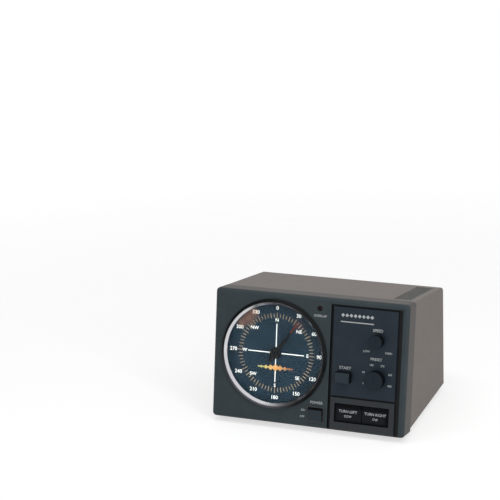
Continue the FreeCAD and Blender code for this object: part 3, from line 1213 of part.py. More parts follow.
def rear_panel():
    """Steel plate inside the cover's rear edge, holed for the fittings, with a slotted vent."""
    half = INNER_HALF - SHEET_GAP
    bottom = COVER_SHEET
    top = REAR_LENGTH - COVER_REAR_BEND
    plate = block((-half, half), (REAR_PLATE_IN, REAR_PLATE_OUT), (bottom, top))
    through = (REAR_PLATE_IN, REAR_PLATE_OUT)
    lip_places, base_places = rear_screw_places()
    tools = [rod(SOCKET_RADIUS + LOOSE_FIT, SOCKET_X, SOCKET_HEIGHT, through),
             rod(JACK_RADIUS + LOOSE_FIT, JACK_X, JACK_HEIGHT, through),
             rod(FUSE_RADIUS + LOOSE_FIT, FUSE_X, FUSE_HEIGHT, through),
             rod(BUSH_RADIUS + LOOSE_FIT, CORD_X, CORD_HEIGHT, through),
             rod(GROUND_RADIUS + LOOSE_FIT, GROUND_X, GROUND_HEIGHT, through)]
    for x in TRIMMER_XS:
        tools.append(rod(TRIMMER_BUSHING_RADIUS + LOOSE_FIT, x, TRIMMER_HEIGHT, through))
    for x, z in lip_places:
        tools.append(rod(SCREW_RADIUS + SEAT_FIT, x, z, through))
    for x, z in base_places:
        tools.append(rod(SCREW_RADIUS + HOLE_CLEARANCE, x, z, through))
    vent_heights = (REAR_VENT_LOW, REAR_LENGTH - REAR_VENT_FROM_TOP)
    for step in range(REAR_VENTS):
        left = REAR_VENT_LEFT + step * REAR_VENT_PITCH
        tools.append(block((left, left + VENT_WIDTH), through, vent_heights))
    return cut_all(plate, tools)


def chassis_base():
    """Steel floor with a flange up behind the sub-panel and one up inside the rear panel."""
    half = INNER_HALF - SHEET_GAP
    low = UNDERSIDE_HEIGHT + COVER_SHEET
    floor = block((-half, half), (0, BOTTOM_REAR_Y), (low, FLOOR_TOP))
    width = (-HALF_WIDTH, HALF_WIDTH)
    front_cut = face_to_floor(block(width, (-OVERCUT, SUBPANEL_BACK), (-OVERCUT, 2 * OVERCUT)))
    rear_cut = rear_to_floor(block(width, (REAR_PLATE_IN, OVERCUT), (-OVERCUT, 2 * OVERCUT)))
    floor = cut_all(floor, [front_cut, rear_cut])
    flange_half = half - COVER_FLANGE
    sheet = CHASSIS_SHEET
    bottom = subpanel_bottom()
    front = face_to_floor(block((-flange_half, flange_half), (SUBPANEL_BACK, SUBPANEL_BACK + sheet),
                                (bottom - sheet, bottom + SUBPANEL_FLANGE)))
    rear = rear_to_floor(block((-flange_half, flange_half), (REAR_PLATE_IN - sheet, REAR_PLATE_IN),
                               (0, COVER_SHEET + SUBPANEL_FLANGE)))
    under = block(width, (0, BOTTOM_REAR_Y), (low - OVERCUT, low))
    whole = joined(floor, [front.cut(under), rear.cut(under)])
    tools = []
    for x, y in flange_places() + strap_places():
        tools.append(post(SCREW_RADIUS + SEAT_FIT, x, y, (low, FLOOR_TOP)))
    for x, z in rear_screw_places()[1]:
        tools.append(rear_to_floor(rod(SCREW_RADIUS + SEAT_FIT, x, z, (REAR_PLATE_IN - 2 * sheet, 0))))
    for x, z in subpanel_screw_places():
        hole = rod(SCREW_RADIUS + SEAT_FIT, x, z, (SUBPANEL_BACK, SUBPANEL_BACK + sheet))
        tools.append(face_to_floor(hole))
    return cut_all(whole, tools)


def subpanel():
    """Steel plate across the back of the bezel, open behind the dial, the board and the switch."""
    half = INNER_HALF - SHEET_GAP
    plate = block((-half, half), (BEZEL_DEPTH, SUBPANEL_BACK),
                  (subpanel_bottom(), COVER_TOP - COVER_SHEET - SHEET_GAP))
    plate = round_edges(plate, COVER_BEND,
                        lambda edge: runs_along(edge, 1) and edge.CenterOfMass.z > DIAL_HEIGHT)
    through = (BEZEL_DEPTH, SUBPANEL_BACK)
    margin = SUBPANEL_WINDOW_MARGIN
    board = (CONTROL_BOARD_X[0] + margin, CONTROL_BOARD_X[1] - margin)
    half_switch = ROCKER_WIDTH / 2 + ROCKER_GAP + SWITCH_WINDOW_MARGIN
    dial_window = math.hypot(FRAME_HALF_WIDTH, FRAME_DOWN) + DIAL_WINDOW_GAP
    tools = [rod(dial_window, DIAL_X, DIAL_HEIGHT, through),
             block(board, through, (CONTROL_BOSS_LOW + margin, CONTROL_BOARD_TOP - margin)),
             block((ROCKER_X - half_switch, ROCKER_X + half_switch), through,
                   (subpanel_bottom() + SUBPANEL_FLANGE + SWITCH_WINDOW_MARGIN, ROCKER_HEIGHT + ROCKER_TALL))]
    for x, z in corner_boss_places() + subpanel_screw_places():
        tools.append(rod(SCREW_RADIUS + HOLE_CLEARANCE, x, z, through))
    return cut_all(plate, tools)


def rubber_feet():
    """Four discs under the base, at its corners."""
    side = HALF_WIDTH - FOOT_MARGIN
    front = floor_point(BEZEL_DEPTH, 0)[0] + FRONT_FOOT_BACK
    rear = BOTTOM_REAR_Y - REAR_FOOT_MARGIN
    height = (0, UNDERSIDE_HEIGHT + COVER_SHEET)
    return [post(FOOT_RADIUS, sign * side, y, height) for sign in (-1, 1) for y in (front, rear)]


def cover_screws():
    """Screws up through the flanges, and in through the rear lip."""
    screws = []
    for x, y in flange_places():
        tip = (x, y, UNDERSIDE_HEIGHT + SHEET_SCREW_LENGTH)
        screws.append(cabinet_screw(tip, (0, 0, -1), SHEET_SCREW_LENGTH))
    for x, z in rear_screw_places()[0]:
        tip = (x, -SHEET_SCREW_LENGTH, z)
        screws.append(rear_to_floor(cabinet_screw(tip, (0, 1, 0), SHEET_SCREW_LENGTH)))
    return screws


def chassis_screws():
    """Screws of the rear panel, the sub-panel, the bezel's bosses and the transformer's strap."""
    screws = []
    for x, z in rear_screw_places()[1]:
        tip = (x, REAR_PLATE_OUT - SHEET_SCREW_LENGTH, z)
        screws.append(rear_to_floor(cabinet_screw(tip, (0, 1, 0), SHEET_SCREW_LENGTH)))
    for x, z in subpanel_screw_places():
        tip = (x, BEZEL_DEPTH + 2 * CHASSIS_SHEET - SHEET_SCREW_LENGTH, z)
        screws.append(face_to_floor(cabinet_screw(tip, (0, 1, 0), SHEET_SCREW_LENGTH)))
    for x, z in corner_boss_places():
        tip = (x, SUBPANEL_BACK - SCREW_LENGTH, z)
        screws.append(face_to_floor(cabinet_screw(tip, (0, 1, 0), SCREW_LENGTH)))
    for x, y in strap_places():
        tip = (x, y, FLOOR_TOP + STRAP_SHEET - SHEET_SCREW_LENGTH)
        screws.append(cabinet_screw(tip, (0, 0, 1), SHEET_SCREW_LENGTH))
    return screws


# Power and control

def core_box(x_half, y_half, z):
    return block((TRANSFORMER_X - x_half, TRANSFORMER_X + x_half),
                 (TRANSFORMER_BACK - y_half, TRANSFORMER_BACK + y_half), (FLOOR_TOP + z[0], FLOOR_TOP + z[1]))


def transformer_core():
    """Laminated core with two windows beside the middle limb."""
    core = core_box(CORE_WIDTH / 2, CORE_STACK / 2, (0, CORE_HEIGHT))
    tools = []
    for side in (-1, 1):
        near = TRANSFORMER_X + side * CORE_LIMB
        far = TRANSFORMER_X + side * (CORE_WIDTH / 2 - CORE_LIMB)
        tools.append(block((min(near, far), max(near, far)), (0, 2 * TRANSFORMER_BACK),
                           (FLOOR_TOP + CORE_LIMB, FLOOR_TOP + CORE_HEIGHT - CORE_LIMB)))
    return cut_all(core, tools)


def transformer_winding():
    """Taped winding round the middle limb."""
    gap = WINDING_GAP
    z = (CORE_LIMB + gap, CORE_HEIGHT - CORE_LIMB - gap)
    outer = core_box(CORE_WIDTH / 2 - CORE_LIMB - gap, CORE_STACK / 2 + WINDING_OVERHANG, z)
    outer = round_edges(outer, WINDING_ROUNDING, lambda edge: runs_along(edge, 2))
    return outer.cut(core_box(CORE_LIMB + gap, CORE_STACK / 2 + gap, z))


def transformer_bracket():
    """Strap over the core, with an ear screwed to the base at each side."""
    half = STRAP_WIDTH / 2
    outer = core_box(CORE_WIDTH / 2 + STRAP_SHEET, half, (0, CORE_HEIGHT + STRAP_SHEET))
    core = core_box(CORE_WIDTH / 2, half, (0, CORE_HEIGHT))
    ears = core_box(CORE_WIDTH / 2 + STRAP_SHEET + STRAP_EAR, half, (0, STRAP_SHEET))
    strap = joined(outer.cut(core), [ears.cut(core)])
    tools = [post(SCREW_RADIUS + HOLE_CLEARANCE, x, y, (FLOOR_TOP, FLOOR_TOP + STRAP_SHEET))
             for x, y in strap_places()]
    return cut_all(strap, tools)


def main_board():
    """Circuit board on four standoffs at the left rear."""
    x = (MAIN_BOARD_LEFT, MAIN_BOARD_RIGHT)
    y = (MAIN_BOARD_FRONT, MAIN_BOARD_FRONT + MAIN_BOARD_LENGTH)
    z = (MAIN_BOARD_UNDER, MAIN_BOARD_TOP)
    tools = [post(SMALL_SCREW_RADIUS + HOLE_CLEARANCE, *place, z) for place in main_board_places()]
    return cut_all(block(x, y, z), tools)


def board_standoffs():
    """Hexagonal pillars under the main board."""
    standoffs = []
    for x, y in main_board_places():
        corners = []
        for step in range(6):
            angle = math.radians(60 * step)
            corners.append(FreeCAD.Vector(x + STANDOFF_RADIUS * math.cos(angle),
                                          y + STANDOFF_RADIUS * math.sin(angle), FLOOR_TOP))
        hexagon = Part.Face(Part.makePolygon(corners + corners[:1]))
        pillar = hexagon.extrude(FreeCAD.Vector(0, 0, STANDOFF_HEIGHT))
        hole = post(SMALL_SCREW_RADIUS + SEAT_FIT, x, y,
                    (MAIN_BOARD_TOP - SCREW_LENGTH, MAIN_BOARD_UNDER))
        standoffs.append(pillar.cut(hole))
    return standoffs


def board_screws():
    """Screws of the main board and of the control board."""
    screws = []
    for x, y in main_board_places():
        screws.append(on_floor(small_screw((x, y, MAIN_BOARD_TOP - SCREW_LENGTH), (0, 0, 1))))
    for x, z in control_boss_places():
        screws.append(on_face(small_screw((x, CONTROL_BOARD_BACK - SCREW_LENGTH, z), (0, 1, 0))))
    return screws


def filter_capacitors():
    """Two upright smoothing capacitors."""
    x = MAIN_BOARD_RIGHT - CAPACITOR_FROM_RIGHT
    top = MAIN_BOARD_TOP + CAPACITOR_HEIGHT
    cans = []
    for step in (0, 1):
        y = MAIN_BOARD_FRONT + CAPACITOR_FROM_FRONT + step * (2 * CAPACITOR_RADIUS + CAPACITOR_GAP)
        can = post(CAPACITOR_RADIUS, x, y, (MAIN_BOARD_TOP, top))
        cans.append(round_edges(can, CAPACITOR_ROUNDING, lambda edge: edge.BoundBox.ZMin > top - 0.001))
    return cans


def motor_relays():
    """Two sealed relays that switch the rotator's motor."""
    room_left = sink_place()[0] + SINK_BASE + TRANSISTOR_THICKNESS
    room_right = MAIN_BOARD_RIGHT - CAPACITOR_FROM_RIGHT - CAPACITOR_RADIUS
    x = (room_left + room_right - RELAY_LENGTH) / 2 - RELAY_OFF_MIDDLE
    relays = []
    for step in (0, 1):
        y = MAIN_BOARD_FRONT + RELAY_FROM_FRONT + step * (RELAY_WIDTH + RELAY_GAP)
        relays.append(block((x, x + RELAY_LENGTH), (y, y + RELAY_WIDTH),
                            (MAIN_BOARD_TOP, MAIN_BOARD_TOP + RELAY_HEIGHT)))
    return relays


def sink_place():
    """Left side, front and seat of the heat sink's plate."""
    left = MAIN_BOARD_LEFT + SINK_FROM_LEFT + SINK_FIN_LENGTH
    return left, MAIN_BOARD_FRONT + SINK_FROM_FRONT, MAIN_BOARD_TOP


def heat_sink():
    """Aluminium plate on the board's left edge, with upright fins."""
    x, y, z = sink_place()
    heights = (z, z + SINK_HEIGHT)
    pitch = (SINK_LENGTH - SINK_FIN) / (SINK_FINS - 1)
    fins = []
    for step in range(SINK_FINS):
        near = y + step * pitch
        fins.append(block((x - SINK_FIN_LENGTH, x), (near, near + SINK_FIN), heights))
    return joined(block((x, x + SINK_BASE), (y, y + SINK_LENGTH), heights), fins)


def power_transistors():
    """Two transistors flat against the heat sink, on their leads."""
    x, y, z = sink_place()
    face = x + SINK_BASE
    lead_x = (face + TRANSISTOR_LEAD_BACK, face + TRANSISTOR_LEAD_BACK + TRANSISTOR_LEAD)
    low = z + TRANSISTOR_LEAD_LENGTH
    transistors = []
    for side in (-1, 1):
        middle = y + SINK_LENGTH / 2 + side * TRANSISTOR_SPACING / 2
        across = (middle - TRANSISTOR_WIDTH / 2, middle + TRANSISTOR_WIDTH / 2)
        body = block((face, face + TRANSISTOR_THICKNESS), across, (low, low + TRANSISTOR_HEIGHT))
        leads = []
        for step in (-1, 0, 1):
            start = middle + step * TRANSISTOR_LEAD_PITCH - TRANSISTOR_LEAD / 2
            leads.append(block(lead_x, (start, start + TRANSISTOR_LEAD), (z, low)))
        transistors.append(joined(body, leads))
    return transistors


def board_connectors():
    """Three wire connectors on the main board, and one on the back of the control board."""
    connectors = []
    y = MAIN_BOARD_FRONT + MAIN_BOARD_LENGTH - CONNECTORS_FROM_REAR
    for step in range(3):
        x = MAIN_BOARD_LEFT + CONNECTORS_FROM_LEFT + step * (CONNECTOR_LENGTH + CONNECTOR_GAP)
        connectors.append(on_floor(block((x, x + CONNECTOR_LENGTH), (y, y + CONNECTOR_WIDTH),
                                         (MAIN_BOARD_TOP, MAIN_BOARD_TOP + CONNECTOR_HEIGHT))))
    middle = (CONTROL_BOARD_X[0] + CONTROL_BOARD_X[1]) / 2
    connectors.append(on_face(block((middle - CONNECTOR_WIDTH / 2, middle + CONNECTOR_WIDTH / 2),
                                    (CONTROL_BOARD_BACK, CONTROL_BOARD_BACK + CONNECTOR_WIDTH),
                                    (CONTROL_CONNECTOR_HEIGHT, CONTROL_CONNECTOR_HEIGHT + CONNECTOR_LENGTH))))
    return connectors


# Rear fittings, in the rear's axes

def pin_holes(centre_x, centre_z, count, circle, radius, y):
    """Holes for a plug's pins, round a circle."""
    holes = []
    for step in range(count):
        x, z = from_centre(centre_x, centre_z, circle, 360.0 / count * (step + 0.5))
        holes.append(rod(radius, x, z, y))
    return holes


def rotator_socket():
    """Round socket with a flange on the panel and a face of pin holes round a middle one."""
    body = rod(SOCKET_RADIUS, SOCKET_X, SOCKET_HEIGHT, (REAR_PLATE_IN - SOCKET_INSIDE, SOCKET_REACH))
    body = round_edges(body, SOCKET_ROUNDING, lambda edge: at_depth(edge, SOCKET_REACH))
    flange = rod(SOCKET_FLANGE_RADIUS, SOCKET_X, SOCKET_HEIGHT,
                 (REAR_PLATE_OUT, REAR_PLATE_OUT + SOCKET_FLANGE))
    bottom = SOCKET_REACH - SOCKET_PIN_DEPTH
    holes = pin_holes(SOCKET_X, SOCKET_HEIGHT, SOCKET_PINS, SOCKET_PIN_CIRCLE, SOCKET_PIN_RADIUS,
                      (bottom, SOCKET_REACH))
    holes.append(rod(SOCKET_PIN_RADIUS, SOCKET_X, SOCKET_HEIGHT, (bottom, SOCKET_REACH)))
    return cut_all(joined(body, [flange]), holes)


def remote_jack():
    """Small round jack for a remote lead."""
    body = rod(JACK_RADIUS, JACK_X, JACK_HEIGHT, (REAR_PLATE_IN - JACK_INSIDE, REAR_PLATE_OUT))
    front = REAR_PLATE_OUT + JACK_FLANGE
    flange = rod(JACK_FLANGE_RADIUS, JACK_X, JACK_HEIGHT, (REAR_PLATE_OUT, front))
    flange = round_edges(flange, JACK_ROUNDING, lambda edge: at_depth(edge, front))
    holes = pin_holes(JACK_X, JACK_HEIGHT, JACK_PINS, JACK_PIN_CIRCLE, JACK_PIN_RADIUS,
                      (front - JACK_PIN_DEPTH, front))
    return cut_all(joined(body, [flange]), holes)


def fuse_holder():
    """Tube for the fuse, with a collar outside the panel."""
    tube = rod(FUSE_RADIUS, FUSE_X, FUSE_HEIGHT, (REAR_PLATE_IN - FUSE_INSIDE, REAR_PLATE_OUT))
    collar = rod(FUSE_FLANGE_RADIUS, FUSE_X, FUSE_HEIGHT, (REAR_PLATE_OUT, REAR_PLATE_OUT + FUSE_FLANGE))
    mouth = REAR_PLATE_OUT + FUSE_FLANGE
    bore = rod(FUSE_PLUG_RADIUS + RUNNING_FIT, FUSE_X, FUSE_HEIGHT,
               (mouth - FUSE_PLUG_LENGTH - FUSE_BORE_SPARE, mouth))
    return joined(tube, [collar]).cut(bore)


def fuse_cap():
    """Turning cap with a driver slot, and the plug that carries the fuse."""
    seat = REAR_PLATE_OUT + FUSE_FLANGE
    front = seat + LOOSE_FIT + FUSE_CAP_LENGTH
    cap = rod(FUSE_CAP_RADIUS, FUSE_X, FUSE_HEIGHT, (seat + LOOSE_FIT, front))
    cap = round_edges(cap, FUSE_CAP_ROUNDING, lambda edge: at_depth(edge, front))
    plug = rod(FUSE_PLUG_RADIUS, FUSE_X, FUSE_HEIGHT, (seat - FUSE_PLUG_LENGTH, seat + LOOSE_FIT))
    slot = tag(FUSE_X, FUSE_HEIGHT, (front - FUSE_SLOT_DEPTH, front), 2 * FUSE_CAP_RADIUS, FUSE_SLOT)
    return joined(cap, [plug]).cut(slot)


def cord_bush():
    """Bush for the mains cord, bored right through, with a flange each side of the panel."""
    front = REAR_PLATE_OUT + BUSH_REACH
    body = rod(BUSH_RADIUS, CORD_X, CORD_HEIGHT, (REAR_PLATE_IN - BUSH_INSIDE, front))
    body = round_edges(body, BUSH_ROUNDING, lambda edge: at_depth(edge, front))
    flange = rod(BUSH_FLANGE_RADIUS, CORD_X, CORD_HEIGHT, (REAR_PLATE_OUT, REAR_PLATE_OUT + BUSH_FLANGE))
    bore = rod(CORD_BORE_RADIUS, CORD_X, CORD_HEIGHT, (REAR_PLATE_IN - BUSH_INSIDE, front))
    return joined(body, [flange]).cut(bore)


def ground_hexagon(start):
    corners = []
    for step in range(6):
        x, z = from_centre(GROUND_X, GROUND_HEIGHT, NUT_ACROSS_FLATS / math.sqrt(3), 60 * step)
        corners.append(FreeCAD.Vector(x, start, z))
    return Part.Face(Part.makePolygon(corners + corners[:1])).extrude(FreeCAD.Vector(0, NUT_THICKNESS, 0))


def ground_terminal():
    """Earth stud with a hexagonal collar outside the panel, and the nut that holds it inside."""
    ends = (REAR_PLATE_IN - GROUND_INSIDE, REAR_PLATE_OUT + GROUND_REACH)
    stud = joined(rod(GROUND_RADIUS, GROUND_X, GROUND_HEIGHT, ends), [ground_hexagon(REAR_PLATE_OUT)])
    hole = rod(GROUND_RADIUS + SEAT_FIT, GROUND_X, GROUND_HEIGHT, ends)
    return [stud, ground_hexagon(REAR_PLATE_IN - NUT_THICKNESS).cut(hole)]


def trimmer_pots():
    """Bodies of the two adjusters, inside the panel, with bushings through it."""
    back = REAR_PLATE_IN - TRIMMER_POT_LENGTH
    front = REAR_PLATE_OUT + TRIMMER_BUSHING_REACH
    pots = []
    for x in TRIMMER_XS:
        body = rod(TRIMMER_POT_RADIUS, x, TRIMMER_HEIGHT, (back, REAR_PLATE_IN))
        bushing = rod(TRIMMER_BUSHING_RADIUS, x, TRIMMER_HEIGHT, (REAR_PLATE_IN, front))
        bore = rod(TRIMMER_SHAFT_RADIUS + RUNNING_FIT, x, TRIMMER_HEIGHT, (back + TRIMMER_SHAFT_STOP, front))
        pots.append(joined(body, [bushing]).cut(bore))
    return pots


def trimmer_shaft(x):
    """Slotted shaft of one adjuster."""
    front = REAR_PLATE_OUT + TRIMMER_SHAFT_REACH
    back = REAR_PLATE_IN - TRIMMER_POT_LENGTH + TRIMMER_SHAFT_STOP
    shaft = rod(TRIMMER_SHAFT_RADIUS, x, TRIMMER_HEIGHT, (back, front))
    slot = tag(x, TRIMMER_HEIGHT, (front - TRIMMER_SLOT_DEPTH, front), 2 * TRIMMER_SHAFT_RADIUS, TRIMMER_SLOT)
    return shaft.cut(slot)


def build():
    """Builds every node and writes it to parts/."""
    os.makedirs("parts", exist_ok=True)
    face_nodes = {
        "front_bezel": [front_bezel()],
        "control_plate": [control_plate()],
        "key_frame": [key_frame()],
        "left_key": [push_key(-1)],
        "right_key": [push_key(1)],
        "start_button": [start_button()],
        "push_switches": push_switches(),
        "speed_knob": [knob(SPEED_KNOB_RADIUS, SPEED_KNOB_LENGTH, SPEED_HEIGHT)],
        "preset_knob": [knob(PRESET_KNOB_RADIUS, PRESET_KNOB_LENGTH, PRESET_HEIGHT)],
        "speed_shaft": [control_shaft(SPEED_KNOB_LENGTH, SPEED_HEIGHT)],
        "preset_shaft": [control_shaft(PRESET_KNOB_LENGTH, PRESET_HEIGHT)],
        "control_pots": control_pots(),
        "overlap_led": [overlap_led()],
        "power_switch": [power_switch()],
        "power_rocker": [power_rocker()],
        "control_board": [control_board()],
        "dial_ring": [dial_ring()],
        "dial_lens": [dial_lens()],
        "dial_plate": [dial_plate()],
        "light_box": [light_box()],
        "dial_lamps": dial_lamps(),
        "indicator_frame": [indicator_frame()],
        "indicator_screws": indicator_screws(),
        "pointer": [pointer()],
        "pointer_shaft": [pointer_shaft()],
        "pointer_bushing": [pointer_bushing()],
        "pointer_gear": [pointer_gear()],
        "motor_pinion": [motor_pinion()],
        "feedback_gear": [feedback_gear()],
        "motor_shaft": [motor_shaft()],
        "feedback_shaft": [feedback_shaft()],
        "indicator_motor": [indicator_motor()],
        "feedback_pot": [feedback_pot()],
        "subpanel": [subpanel()],
    }
    floor_nodes = {
        "top_cover": [top_cover()],
        "chassis_base": [chassis_base()],
        "rubber_feet": rubber_feet(),
        "cover_screws": cover_screws(),
        "chassis_screws": chassis_screws(),
        "transformer_core": [transformer_core()],
        "transformer_winding": [transformer_winding()],
        "transformer_bracket": [transformer_bracket()],
        "main_board": [main_board()],
        "board_standoffs": board_standoffs(),
        "filter_capacitors": filter_capacitors(),
        "motor_relays": motor_relays(),
        "heat_sink": [heat_sink()],
        "power_transistors": power_transistors(),
    }
    rear_nodes = {
        "rear_panel": [rear_panel()],
        "rotator_socket": [rotator_socket()],
        "remote_jack": [remote_jack()],
        "fuse_holder": [fuse_holder()],
        "fuse_cap": [fuse_cap()],
        "cord_bush": [cord_bush()],
        "ground_terminal": ground_terminal(),
        "trimmer_pots": trimmer_pots(),
        "full_scale_trimmer": [trimmer_shaft(TRIMMER_XS[0])],
        "offset_trimmer": [trimmer_shaft(TRIMMER_XS[1])],
    }
    for nodes, place in ((face_nodes, on_face), (floor_nodes, on_floor), (rear_nodes, on_rear)):
        for node, shapes in nodes.items():
            save(node, [place(shape) for shape in shapes])
    save("board_screws", board_screws())
    save("board_connectors", board_connectors())


build()
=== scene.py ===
"""Looks of the antenna rotator controller, a desk box with a round dial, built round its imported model."""

import math

import bmesh
import bpy
from mathutils import Matrix, Vector


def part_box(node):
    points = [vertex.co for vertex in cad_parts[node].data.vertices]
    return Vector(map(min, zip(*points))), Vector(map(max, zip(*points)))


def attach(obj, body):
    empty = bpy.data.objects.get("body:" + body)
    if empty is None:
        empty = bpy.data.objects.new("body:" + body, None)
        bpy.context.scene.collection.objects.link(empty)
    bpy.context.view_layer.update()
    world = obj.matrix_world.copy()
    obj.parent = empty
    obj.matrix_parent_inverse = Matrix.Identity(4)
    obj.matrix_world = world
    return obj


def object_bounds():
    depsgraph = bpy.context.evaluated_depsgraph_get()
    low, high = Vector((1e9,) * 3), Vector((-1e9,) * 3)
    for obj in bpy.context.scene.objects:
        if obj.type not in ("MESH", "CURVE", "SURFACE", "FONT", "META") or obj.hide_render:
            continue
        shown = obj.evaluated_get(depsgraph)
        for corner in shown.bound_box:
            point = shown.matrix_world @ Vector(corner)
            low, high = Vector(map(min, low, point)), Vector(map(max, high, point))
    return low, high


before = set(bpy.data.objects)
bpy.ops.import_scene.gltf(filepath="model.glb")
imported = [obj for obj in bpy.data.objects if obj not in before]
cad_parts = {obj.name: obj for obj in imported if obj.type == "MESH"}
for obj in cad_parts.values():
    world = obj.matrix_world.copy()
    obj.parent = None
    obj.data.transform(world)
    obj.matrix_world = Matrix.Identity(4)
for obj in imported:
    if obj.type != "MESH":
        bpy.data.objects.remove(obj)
cad_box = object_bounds()

# Chassis: a folded base tray, and a sub-panel that stands behind the front moulding.
# Zinc-plated sheet steel with a faint spangle, folded after plating and screwed together.
# The helpers here take sizes in millimetres and colours as 0 to 255 values.
MM = 0.001
NOISE_DETAIL = 3.0
BROAD_PATCH = 30  # grains across
DRIFT_RUN, GRAIN_RUN = (0.35, 0.7), (0.3, 0.7)  # of the noise
MIX_UNDER, MIX_OVER, MIX_RESULT = 6, 7, 2  # a mix node's colour sockets, as their names aren't theirs alone


def shade(colour):
    """A colour of 0 to 255 values, in the linear form that a shader takes."""
    parts = [value / 255 for value in colour]
    return (*[part / 12.92 if part < 0.04 else ((part + 0.055) / 1.055) ** 2.4 for part in parts], 1.0)


def own_place(material):
    """A part's own coordinates, in metres."""
    return material.node_tree.nodes.new("ShaderNodeTexCoord").outputs["Object"]


def part_noise(material, size, stretch):
    """Soft random patches of about that size, fixed to the part."""
    nodes, links = material.node_tree.nodes, material.node_tree.links
    laid = nodes.new("ShaderNodeMapping")
    laid.inputs["Scale"].default_value = stretch
    noise = nodes.new("ShaderNodeTexNoise")
    noise.inputs["Scale"].default_value = 1 / (size * MM)
    noise.inputs["Detail"].default_value = NOISE_DETAIL
    links.new(own_place(material), laid.inputs["Vector"])
    links.new(laid.outputs["Vector"], noise.inputs["Vector"])
    return noise.outputs["Fac"]


def between(material, value, low, high, to_low=0.0, to_high=1.0):
    """A value's run from low to high, taken to another run and held at its ends."""
    node = material.node_tree.nodes.new("ShaderNodeMapRange")
    ends = {"From Min": low, "From Max": high, "To Min": to_low, "To Max": to_high}
    for end, number in ends.items():
        node.inputs[end].default_value = number
    material.node_tree.links.new(value, node.inputs["Value"])
    return node.outputs["Result"]


def lay_over(material, mask, colour, into="Base Color"):
    """Puts a colour over a finish wherever the mask is 1."""
    nodes, links = material.node_tree.nodes, material.node_tree.links
    socket = nodes["Principled BSDF"].inputs[into]
    mix = nodes.new("ShaderNodeMix")
    mix.data_type = "RGBA"
    mix.inputs[MIX_UNDER].default_value = socket.default_value
    if socket.links:
        links.new(socket.links[0].from_socket, mix.inputs[MIX_UNDER])
    mix.inputs[MIX_OVER].default_value = shade(colour)
    links.new(mask, mix.inputs["Factor"])
    links.new(mix.outputs[MIX_RESULT], socket)


def raise_by(material, height, distance):
    """Adds a relief of that height to a finish's bump."""
    nodes, links = material.node_tree.nodes, material.node_tree.links
    socket = nodes["Principled BSDF"].inputs["Normal"]
    bump = nodes.new("ShaderNodeBump")
    bump.inputs["Distance"].default_value = distance * MM
    if socket.links:
        links.new(socket.links[0].from_socket, bump.inputs["Normal"])
    links.new(height, bump.inputs["Height"])
    links.new(bump.outputs["Normal"], socket)


def finish(name, colour, drift, grain, gloss, relief, metal=0.0, shine=0.5, stretch=(1, 1, 1)):
    """A finish whose colour drifts in broad patches, and whose fine grain moves its roughness and height."""
    material = bpy.data.materials.new(name)
    material.use_nodes = True
    shader = material.node_tree.nodes["Principled BSDF"]
    shader.inputs["Base Color"].default_value = shade(colour)
    shader.inputs["Metallic"].default_value = metal
    shader.inputs["Specular IOR Level"].default_value = shine
    broad = part_noise(material, grain * BROAD_PATCH, stretch)
    lay_over(material, between(material, broad, *DRIFT_RUN), drift)
    fine = part_noise(material, grain, stretch)
    rough = between(material, fine, *GRAIN_RUN, *gloss)
    material.node_tree.links.new(rough, shader.inputs["Roughness"])
    raise_by(material, fine, relief)
    return material


def coat(material, *names):
    """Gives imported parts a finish."""
    for name in names:
        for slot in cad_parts[name].material_slots:
            slot.material = material


def cells(material, size):
    """A pattern of cells about that size, fixed to the part."""
    node = material.node_tree.nodes.new("ShaderNodeTexVoronoi")
    node.inputs["Scale"].default_value = 1 / (size * MM)
    material.node_tree.links.new(own_place(material), node.inputs["Vector"])
    return node


def spangle(material, colour, size, contrast):
    """Flat crystals of about that size, each laid over with its own share of a colour."""
    own = material.node_tree.nodes.new("ShaderNodeSeparateColor")
    material.node_tree.links.new(cells(material, size).outputs["Color"], own.inputs["Color"])
    lay_over(material, between(material, own.outputs["Red"], 0, 1, 0, contrast), colour)


plated_steel = finish(
    "plated_steel", (168, 170, 164), (186, 184, 170), grain=0.6, gloss=(0.24, 0.42), relief=0.01, metal=0.9
)
spangle(plated_steel, (146, 150, 150), size=5.0, contrast=0.45)
coat(plated_steel, "chassis_base", "subpanel", "indicator_frame", "transformer_bracket", "board_standoffs")

# Screws: cross-slotted machine screws, cold headed and zinc plated; the cover's own are blacked.
# The plating is a little uneven in tone and shine.
screw_steel = finish(
    "screw_steel", (172, 174, 172), (140, 142, 144), grain=0.25, gloss=(0.2, 0.4), relief=0.008, metal=1.0
)
coat(screw_steel, "chassis_screws", "board_screws", "indicator_screws")
black_zinc = finish(
    "cover_screw_steel", (46, 46, 47), (62, 61, 60), grain=0.25, gloss=(0.28, 0.45), relief=0.008, metal=0.6
)
coat(black_zinc, "cover_screws")

# Feet: four moulded rubber discs, pressed into the base.
# Matt black rubber with a fine sand texture from the mould, dusty round the rim that meets the desk.
DUSTY_HEIGHT, DUST_SHARE = 1.2, 0.6


def own_axis(material, axis):
    """A part's own X, Y or Z, in metres."""
    split = material.node_tree.nodes.new("ShaderNodeSeparateXYZ")
    material.node_tree.links.new(own_place(material), split.inputs["Vector"])
    return split.outputs[axis]


foot_rubber = finish(
    "foot_rubber", (30, 30, 31), (44, 43, 42), grain=0.35, gloss=(0.7, 0.9), relief=0.05, shine=0.3
)
dust = between(foot_rubber, own_axis(foot_rubber, "Z"), DUSTY_HEIGHT * MM, 0, 0, DUST_SHARE)
lay_over(foot_rubber, dust, (88, 84, 78))
coat(foot_rubber, "rubber_feet")

# Transformer: a stack of varnished laminations round a taped winding, held by a folded strap.
# The sheets' edges show as fine lines, with dark varnish run between them.
LINE_CORE = 0.4  # share of a line's run that is full
WAVE_PHASE = 20  # radians of a wave texture to a unit of its scale


